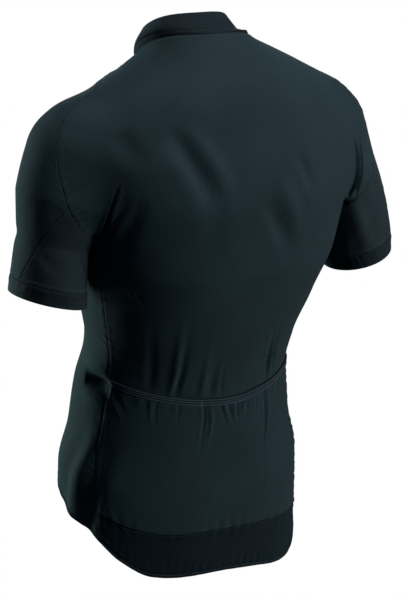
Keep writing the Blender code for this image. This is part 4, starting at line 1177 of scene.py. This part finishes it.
def makeStitches():
    s, b, lift = stitchRows, bartackSet, backSet["bagLift"]
    pale, dark, bars = [], [], []
    for side, first, last in (("left", "first", "last"), ("right", "last", "first")):
        pale.append(inset("sleeveUnder_" + side, first, s["underSleeve"]))
        dark.append(inset("sleeveUnder_" + side, last, s["underSleeve"]))
        for part in ("sleeveUpper_", "sleeveUnder_"):
            pale += [inset(part + side, "bottom", d) for d in s["cuffSeam"]]
        dark.append(inset("backPanel", first, s["backSide"], s["backFrom"]))
        dark += [inset("frontPanel_" + side, first, d) for d in s["frontSide"]]
        dark += [inset(part + side, "bottom", s["single"]) for part in ("frontPanel_", "sidePanel_")]
        dark.append(inset("cuff_" + side, "bottom", s["cuffEdge"]))
        dark += [inset("pocketBag", first, d) for d in s["bagSide"]]
    dark += [inset("pocketBag", "bottom", s["single"]), inset("tailBand", "top", s["bandTop"])]
    pale.append(inset("hemEdging", "top", s["edgingTop"]))
    fold = [inset("collarBand", "bottom", collarSet["foldHeight"]),
            inset("collarBand", "top", s["collarTop"])]
    dark += [overTrunk(route, lift + b["lineLift"]) for route in pocketLines]
    dark += [inset("pocketElastic", "bottom", backSet["elasticHeight"] * share) for share in (1 / 3, 2 / 3)]
    for name, lines, thread in (("pale", pale, threadLight), ("dark", dark, threadDark),
                                ("collar", fold, threadDark)):
        repeated(name + "Stitches", lines, "stitch", thread, stitchSize)
    for angle, *_ in pocketLines:
        for aside in (-b["aside"], b["aside"]):
            at = angle + math.degrees(aside / b["radius"])
            route = (at, b["level"] - b["reach"], at, b["level"], at, b["level"] + b["reach"])
            bars.append(overTrunk(route, lift + b["lift"]))
    repeated("pocketBartacks", bars, "stitch", threadLight, bartackSize)


makeStitches()
print("stitches set")


def makeTeeth():
    z = zipSet
    lines = []
    for sign in (1, -1):
        low = zipLow + z["boxHeight"] + (z["pitch"] / 2 if sign > 0 else 0)
        line = zipLine(sign * z["toothAside"], low, z["toothRows"])
        ahead = unit(np.gradient(line, axis=0))
        out = np.stack([np.zeros(len(line)), -ahead[:, 2], ahead[:, 1]], 1)
        lines.append(line + out * z["toothOut"])
    size = dict(pitch=z["pitch"], length=z["pitch"] * z["toothShare"], width=z["toothWidth"],
                depth=z["toothThick"])
    repeated("zipTeeth", lines, "tooth", cloths["zipWeave"], size, ["zip_coil"])


makeTeeth()

# lacquered metal of the zip's hard pieces
for name in ("zip_box", "zip_slider", "zip_pull_tab"):
    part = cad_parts[name]
    part.data.materials.clear()
    part.data.materials.append(lacquer)
print("zip made")

# pale floor far below, a little blue air, and white wherever the camera sees past the jersey
stageSet = dict(floorLevel=-2.2, floorSize=14.0, floorColour=(0.10, 0.11, 0.12, 1), floorRoughness=0.9,
                air=0.042, airColour=(0.05, 0.34, 1.0, 1))


def whiteToCamera(t, shader, whiteKind, target):
    seen = node(t, "ShaderNodeLightPath", (0, 300)).outputs["Is Camera Ray"]
    white = node(t, whiteKind, (0, -300), {"Color": (1, 1, 1, 1), "Strength": 1.0})
    mix = node(t, "ShaderNodeMixShader", (200, 0), {0: seen, 1: shader, 2: white})
    feed(t, t.nodes[target], {"Surface": mix})


def makeStage():
    c = stageSet
    size, level = c["floorSize"], c["floorLevel"]
    floor = bpy.data.meshes.new("floor")
    corners = [(x * size, y * size, level) for x, y in ((-1, -1), (1, -1), (1, 1), (-1, 1))]
    floor.from_pydata(corners, [], [(0, 1, 2, 3)])
    m, t, shader = newMaterial("paleFloor")
    feed(t, shader, {"Base Color": c["floorColour"], "Roughness": c["floorRoughness"]})
    whiteToCamera(t, shader, "ShaderNodeEmission", "Material Output")
    floor.materials.append(m)
    inScene("floor", floor)
    world = bpy.data.worlds.new("studio")
    world.use_nodes = True
    t = world.node_tree
    air = feed(t, t.nodes["Background"], {"Color": c["airColour"], "Strength": c["air"]})
    whiteToCamera(t, air, "ShaderNodeBackground", "World Output")
    bpy.context.scene.world = world
    bpy.context.scene.view_settings.view_transform = "Standard"


lightAim = (0, 0, -0.3)
lights = dict(
    behind=dict(place=(-1.40, 1.98, 0.55), power=35, size=0.9, colour=(0.90, 1.0, 1.0)),
    above=dict(place=(0.11, 0.22, 1.83), power=27, size=1.0, colour=(1.0, 1.0, 1.0)),
    leftRim=dict(place=(1.25, -2.17, -0.60), power=38, size=0.8, colour=(0.70, 1.0, 1.0)),
    leftLow=dict(place=(1.05, -1.75, -1.75), power=7, size=0.6, colour=(0.70, 1.0, 1.0)),
    lowRight=dict(place=(-1.92, 0.79, -1.53), power=9, size=0.8, colour=(0.90, 1.0, 1.0)),
    front=dict(place=(-1.30, -2.20, 0.0), power=14, size=1.2, colour=(0.90, 1.0, 1.0)))


def makeLights():
    for name, l in lights.items():
        data = bpy.data.lights.new(name, "AREA")
        data.shape, data.size, data.energy, data.color = "DISK", l["size"], l["power"], l["colour"]
        thing = inScene(name, data)
        thing.location = l["place"]
        thing.rotation_mode = "QUATERNION"
        thing.rotation_quaternion = (Vector(lightAim) - Vector(l["place"])).to_track_quat("-Z", "Y")


makeStage()
makeLights()
print("stage and lights set")
